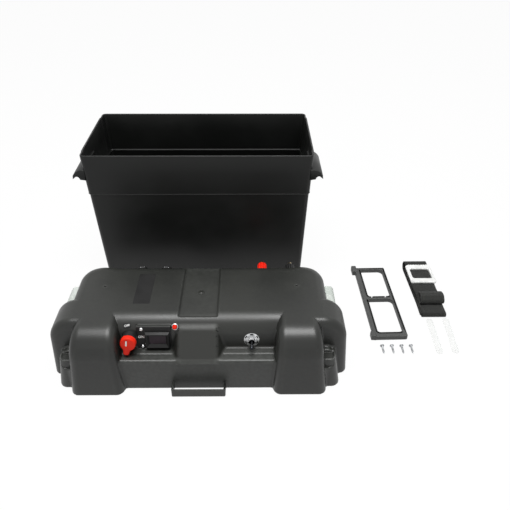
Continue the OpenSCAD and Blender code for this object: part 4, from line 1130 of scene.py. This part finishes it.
nut_shape = placed(nut(14.5, 12.0, 1.0, 3.6), *TOGGLE)
nut_piece = piece("toggle_hex_nut", nut_shape, "lid", "bright_steel", sharp=30)
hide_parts("toggle_nut")
thread = [(3.9, -5), (5.9, -5)]
thread += [(5.95 if k % 2 else 5.55, -4.6 + 0.45 * k) for k in range(25)]
thread += [(5.5, 6.8), (5.1, 7.0), (4.9, 6.6), (3.9, 2.2), (3.7, 0), (3.9, -2.2)]
thread_shape = placed(turned(thread, 40, "looped"), *TOGGLE)
thread_piece = piece("toggle_threaded_bush", thread_shape, "lid", "bright_steel", sharp=35)
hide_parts("toggle_bush")
bat = [(0.6, -7.2), (1.3, -7), (1.35, -3.4), (2.6, -2.4), (3.3, 0), (2.7, 1.9), (1.7, 2.9), (1.6, 4.0),
       (2.0, 8), (2.5, 13), (2.85, 16.5), (2.75, 18.2), (2.2, 19.3), (1.2, 19.85), (0.4, 19.95)]
tilt = math.radians(13)
tilted = (1, 0, 0), (0, math.cos(tilt), math.sin(tilt)), (0, -math.sin(tilt), math.cos(tilt))
lever = placed(placed(turned(bat, 32), (0, 0, 0), *tilted), *TOGGLE)
lever_piece = piece("toggle_bat_lever", lever, "toggle_lever", "dark_steel", sharp=40)
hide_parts("toggle_lever")
print("toggle switch made")

# %% [markdown]
# Behind the lid two sockets take 12 volt plugs, each under a cap that
# swings up on a hinge. Each cap rides a body of its own, and its hinge roll
# lies on the joint's line, so that it turns in place between the ears.

# %% Socket shells and caps
# Shell: a flange, a barrel behind it and two ears for the hinge. Cap: a
# hollow disc with a tongue to lift it by, a hinge roll and an arm.
flange = turned([(10.6, 0), (16.4, 0), (17, 0.5), (17, 3.6), (16.5, 4.6), (15.5, 5), (11.2, 5), (10.6, 4.5)],
                64, "looped")
barrel = turned([(10.55, 0.5), (10.55, -29), (3.0, -29), (3.0, -34), (12.6, -34), (13.05, -33.4),
                 (13.05, 0.5)], 48, "looped")
HINGE_Y, HINGE_Z = 15.4, 6.8
ear = slab(3, 2.8, 0.9, 4, 8.4, 0.3, 3)
shell_shape = joined(flange, barrel, moved(ear, (-5, HINGE_Y, 0)), moved(ear, (5, HINGE_Y, 0)))
disc = turned([(8, 2.2), (9.6, 2.2), (9.8, 2.6), (9.8, 5.2), (13.4, 5.3), (14, 5.8), (14, 10.2), (13.2, 11.1),
               (11.6, 11.3), (9.5, 10.9), (4, 10.75), (0.5, 10.8), (0.5, 5.6), (8, 5.4)], 64, "looped")
tongue, arm = slab(10, 6, 1.6, 7, 9.4, 0.6, 4), slab(6.0, 7.6, 0.9, 5.5, 8.3, 0.4, 3)
hinge = loft([np.column_stack([np.full(24, x), circle(r, 24) + (HINGE_Y, HINGE_Z)])
              for x, r in ((-3.1, 1.3), (-2.8, 1.6), (2.8, 1.6), (3.1, 1.3))])
cap_shape = joined(disc, moved(tongue, (0, -14, 0)), hinge, moved(arm, (0, 11.9, 0)))
for side, x in SOCKET_X.items():
    spot = rear_panel(x, SOCKET_Z)
    shell = piece("socket_flange_" + side, placed(shell_shape, *spot), "lid", "black_plastic", sharp=40)
    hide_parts("socket_shell_" + side)
    body = "socket_cap_" + side
    cap_piece = piece("socket_lid_" + side, placed(cap_shape, *spot), body, "black_gloss", sharp=40)
    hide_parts("socket_cap_" + side)
print("two sockets made")

# %% [markdown]
# Two knurled knobs screw down on the battery terminals. The grip could be a
# bump, but it shows in the outline, so the radius round the knob is a row
# of scallops: r less a cut that is deep near twelve angles and nothing
# between them.

# %% Terminal knobs


def knurled(radius, notches, depth, count=144):
    """Radii round a knob with scalloped sides."""
    angle = np.arange(count) * 2 * np.pi / count
    off = np.abs((angle * notches / (2 * np.pi) + 0.5) % 1 - 0.5) * 2 * np.pi * radius / notches
    return radius - depth * np.sqrt(np.clip(1 - (off / 1.5) ** 2, 0, 1))


# Each ring: share of the full radius, and height
KNOB = [(0.93, 4.35), (0.985, 4.7), (1, 5.4), (1, 25.6), (0.97, 27.0), (0.88, 28.0), (0.76, 28.35)]
rings = [level_ring(circle(knurled(8.5, 12, 0.95) * share, 144), height) for share, height in KNOB]
rings += [level_ring(circle(4.1, 144), height) for height in (28.3, 4.35)]
knob_shape = loft(rings, "looped")
collar = turned([(4.05, 0), (10.2, 0), (10.5, 0.4), (10.5, 2.2), (9.6, 3.4), (8.8, 4.0), (4.05, 4.0)],
                64, "looped")
for colour, place in POSTS.items():
    spot, slot = rear_panel(*place), colour + "_plastic"
    knob = piece("terminal_knob_" + colour, placed(knob_shape, *spot), "post_knob_" + colour, slot, sharp=45)
    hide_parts("post_knob_" + colour)
    base = piece("terminal_base_" + colour, placed(collar, *spot), "lid", slot, sharp=40)
    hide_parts("post_base_" + colour)
print("two terminal knobs made")

# %% [markdown]
# A lamp sits on each end of the lid. Its cover is a clear moulding with
# fine ribs across it, which is why it looks pale and grey-green.

# %% Lamp covers
LAMP = np.array([208.4, 22.0, 61.5])
HALF, LAMP_MID, RIB_PITCH = 23.5, 15.25, 2.0
outer = np.array([[3, 0.2], [12.4, 0.0], [13.4, 0.5], [18.6, 7.6], [19, 8.6], [19, 24.6], [18.6, 25.9],
                  [14.6, 30.0], [13.4, 30.5], [3, 30.3]])
inner = np.array([[3, 2.2], [12.0, 2.1], [12.4, 2.5], [16.8, 8.6], [17, 9.0], [17, 24.2], [16.8, 25.0],
                  [13.8, 28.0], [13.2, 28.4], [3, 28.3]])


def lamp_shell(side):
    """The profile carried along the lamp, with ribs across its outer face
    and shut ends, then drawn back inside to make a wall."""
    ys = np.linspace(-HALF, HALF, 95)
    rib = 0.22 * (1 - np.cos(ys * 2 * np.pi / RIB_PITCH))
    rib[np.abs(ys) > HALF - 5] = 0
    rings = []
    for y, r in zip(ys, rib):
        draw = 0.7 * max(0.0, 1 - (HALF - abs(y)) / 0.8)
        ring = outer.copy()
        ring[3:8, 0] -= r + draw
        ring[:, 1] = LAMP_MID + (ring[:, 1] - LAMP_MID) * (1 - draw / 16)
        rings.append(np.column_stack([ring[:, 0], np.full(len(ring), y), ring[:, 1]]))
    for y in np.linspace(HALF - 2, -HALF + 2, 12):
        rings.append(np.column_stack([inner[:, 0], np.full(len(inner), y), inner[:, 1]]))
    points, faces = loft(rings, "looped")
    points = (points + LAMP) * (side, 1, 1) + LID
    return points, outward(points, faces)


lenses = piece("lamp_covers", joined(lamp_shell(-1), lamp_shell(1)), "lid", "lamp_lens", sharp=35)
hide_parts("lamp_lenses")
print("lamp covers", len(lenses.data.polygons), "faces")

# %% [markdown]
# Each cover is held by two small dark screws, whose heads lie on its outer
# face. They reuse the recipe of the control plate's screws.

# %% Lamp screws
bolt = small_net(pan_head(2.7, 1.5, 1.0), 2.7, 0, 1.5, 0.3)
pin = turned([(1.4, -22), (1.45, 0.4)], 16)
bolts = []
for side in (-1, 1):
    for dy in (-1, 1):
        at = LID + (side * (LAMP[0] + 17.0), LAMP[1] + dy * 18.9, LAMP[2] + LAMP_MID)
        for shape in (spun(bolt, 35 * dy), pin):
            bolts.append(placed(shape, at, (0, side, 0), (0, 0, 1), (side, 0, 0)))
bolt_piece = piece("lamp_screw_heads", joined(*bolts), "lid", "dark_steel", sharp=40)
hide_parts("lamp_screws")
print(len(bolts) // 2, "lamp screws")

# %% [markdown]
# Four self-tapping screws lie on the floor. A thread can be swept as a
# curve, but then it crosses the core. Here it is part of the surface: the
# radius at each point rises where the angle and the height along the screw
# are in step.

# %% Floor screws
SCREW_X, SCREW_Y, HEAD_R, CORE_R, THREAD, PITCH = (324, 341, 358, 374.5), -286.5, 3.7, 1.35, 0.55, 1.6
TAPER_FROM = 16


def screw_rings(count=28):
    """Rings of a screw from head to tip. Thread height = 0.55 mm times how
    near the point is to the helix, which climbs 1.6 mm a turn."""
    rows = [(0.4, -0.02), (3.1, 0.0), (3.65, 0.25), (3.7, 0.55), (3.2, 1.3), (2.2, 2.5), (1.45, 3.2)]
    rings = [level_ring(circle(r, count), z) for r, z in rows]
    share = np.arange(count) / count
    for z in np.arange(3.5, 19.2, 0.2):
        core = CORE_R if z < TAPER_FROM else CORE_R * max(0.12, (19.6 - z) / 3.6)
        crest = np.clip(1 - np.abs((z / PITCH - share) % 1 - 0.5) * 4.2, 0, 1)
        fade = min(1.0, (z - 3.4) / 0.8, max(0.15, (19.8 - z) / 3))
        rings.append(level_ring(circle(core + THREAD * crest * fade, count), z))
    return [*rings, level_ring(circle(0.08, count), 19.8)]


cross = small_net(pan_head(3.6, 0.7, 0.5), 3.6, 0, 0.7, 0.3)
cross = (cross[0] * (1, 1, -1) + (0, 0, 0.1), [f[:, ::-1] for f in cross[1]])
screw = joined(loft(screw_rings()), cross)
all_screws = [placed(spun(screw, 25 + 70 * k), (x, SCREW_Y, HEAD_R), (1, 0, 0), (0, 0, 1), (0, -1, 0))
              for k, x in enumerate(SCREW_X)]
screw_piece = piece("tapping_screws", joined(*all_screws), "case", "zinc_steel", sharp=35)
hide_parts("floor_screws")
print("screws", len(screw_piece.data.polygons), "faces")

# %% [markdown]
# Two strips of clear soft vinyl, 1.6 mm thick, each with a round hole near
# one end. A plane would show no edge, and the edge is all that one sees of
# clear plastic, so each is a thin solid with rounded sides.

# %% Clear strips
STRIPS = ((424, -260, -1.9), (453.5, -258.6, -3.9))


def strip_field(x, y, z):
    """A thin rounded bar less a hole."""
    bar = blunt(box_field(x, y, (0, 0), (11, 87), 4), np.abs(z - 0.8) - 0.8, 0.5)
    return carve(bar, np.hypot(x, y + 35.5) - 1.5, 0.3)


strip = netted(strip_field, [marks(-7, 7, 0.5), marks(-45, 45, 0.7), marks(-1, 2.8, 0.4)], 0.25)
strips = [moved(spun(strip, degrees), (x, y, 0)) for x, y, degrees in STRIPS]
strip_piece = piece("vinyl_strips", joined(*strips), "case", "clear_vinyl", sharp=60)
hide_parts("clear_strips")
print("clear strips", len(strip_piece.data.polygons), "faces")

# %% [markdown]
# The CAD nodes that stay are mostly inside the lid: housings, nuts, studs
# and tabs. They keep their exact shape and get the finish of their slot.

# %% Finishes for the nodes that stay
kept = 0
for thing in nodes.values():
    for slot in thing.material_slots:
        wanted = slot.material.name.split(".")[0] if slot.material else ""
        if wanted in finishes:
            slot.material = finishes[wanted]
            kept += 1
print("finished", kept, "slots of", len(nodes), "nodes")

# %% [markdown]
# A white floor stands in for the photographer's table. It is meant to be
# white in the picture without more light on the object, so most of what the
# camera sees of it is its own glow, and the rest is real shade.

# %% Rays that see the white
WHITE = (1, 1, 1, 1)


def seen_rays(tree):
    """1 for a ray from the camera, off a gloss or through glass, else 0."""
    rays = node(tree, "ShaderNodeLightPath")
    return maths(tree, "MAXIMUM", rays.outputs["Is Camera Ray"],
                 maths(tree, "MAXIMUM", rays.outputs["Is Glossy Ray"], rays.outputs["Is Transmission Ray"]))


print("white is", WHITE)

# %% Floor
REACH = 6.0
floor_mesh = bpy.data.meshes.new("floor")
floor_mesh.from_pydata([(-REACH, -REACH, 0), (REACH, -REACH, 0), (REACH, REACH, 0), (-REACH, REACH, 0)],
                       [], [(0, 1, 2, 3)])
floor = bpy.data.objects.new("floor", floor_mesh)
bpy.context.scene.collection.objects.link(floor)
floor_material = bpy.data.materials.new("floor_white")
floor_material.use_nodes = True
tree = floor_material.node_tree
tree.nodes.clear()
paper = node(tree, "ShaderNodeBsdfDiffuse", {"Color": linear(236, 236, 236)})
glow = node(tree, "ShaderNodeEmission", {"Color": WHITE, "Strength": 1.01})
blend = node(tree, "ShaderNodeMixShader", {0: maths(tree, "MULTIPLY", seen_rays(tree), 0.95),
             1: paper.outputs[0], 2: glow.outputs[0]})
node(tree, "ShaderNodeOutputMaterial", {"Surface": blend.outputs[0]})
floor_mesh.materials.append(floor_material)
print("floor", 2 * REACH, "m across")

# %% World
world = bpy.data.worlds.new("studio")
bpy.context.scene.world = world
world.use_nodes = True
tree = world.node_tree
tree.nodes.clear()
soft = node(tree, "ShaderNodeBackground", {"Color": WHITE, "Strength": 0.16})
white = node(tree, "ShaderNodeBackground", {"Color": WHITE, "Strength": 1.0})
blend = node(tree, "ShaderNodeMixShader", {0: seen_rays(tree), 1: soft.outputs[0], 2: white.outputs[0]})
node(tree, "ShaderNodeOutputWorld", {"Surface": blend.outputs[0]})
print("world lights at", soft.inputs["Strength"].default_value)

# %% [markdown]
# One large soft box hangs over the table, a little in front, and lights the
# tops and shoulders. A weak one behind the camera keeps the fronts readable.

# %% Lamps


def softbox(name, place, aim, width, height, power):
    """A rectangular area lamp at a place, facing the aim point."""
    data = bpy.data.lights.new(name, "AREA")
    data.shape = "RECTANGLE"
    data.size, data.size_y, data.energy = width, height, power
    lamp = bpy.data.objects.new(name, data)
    bpy.context.scene.collection.objects.link(lamp)
    away = np.asarray(place, float) - np.asarray(aim, float)
    away /= np.linalg.norm(away)
    side = np.cross((0, 1, 0) if abs(away[2]) > 0.9 else (0, 0, 1), away)
    side /= np.linalg.norm(side)
    axes = Matrix(np.stack([side, np.cross(away, side), away], 1).tolist())
    lamp.matrix_world = Matrix.Translation(place) @ axes.to_4x4()
    return lamp


softbox("top_box", (0.05, -0.36, 1.9), (0.05, -0.2, 0), 1.3, 0.8, 40.0)
softbox("front_box", (-0.3, -2.4, 1.3), (0.05, -0.2, 0.05), 1.2, 0.8, 1.2)

view = bpy.context.scene.view_settings
view.view_transform = "Standard"

# %% [markdown]
# Last comes a closing line.

# %% The end
print("scene built")
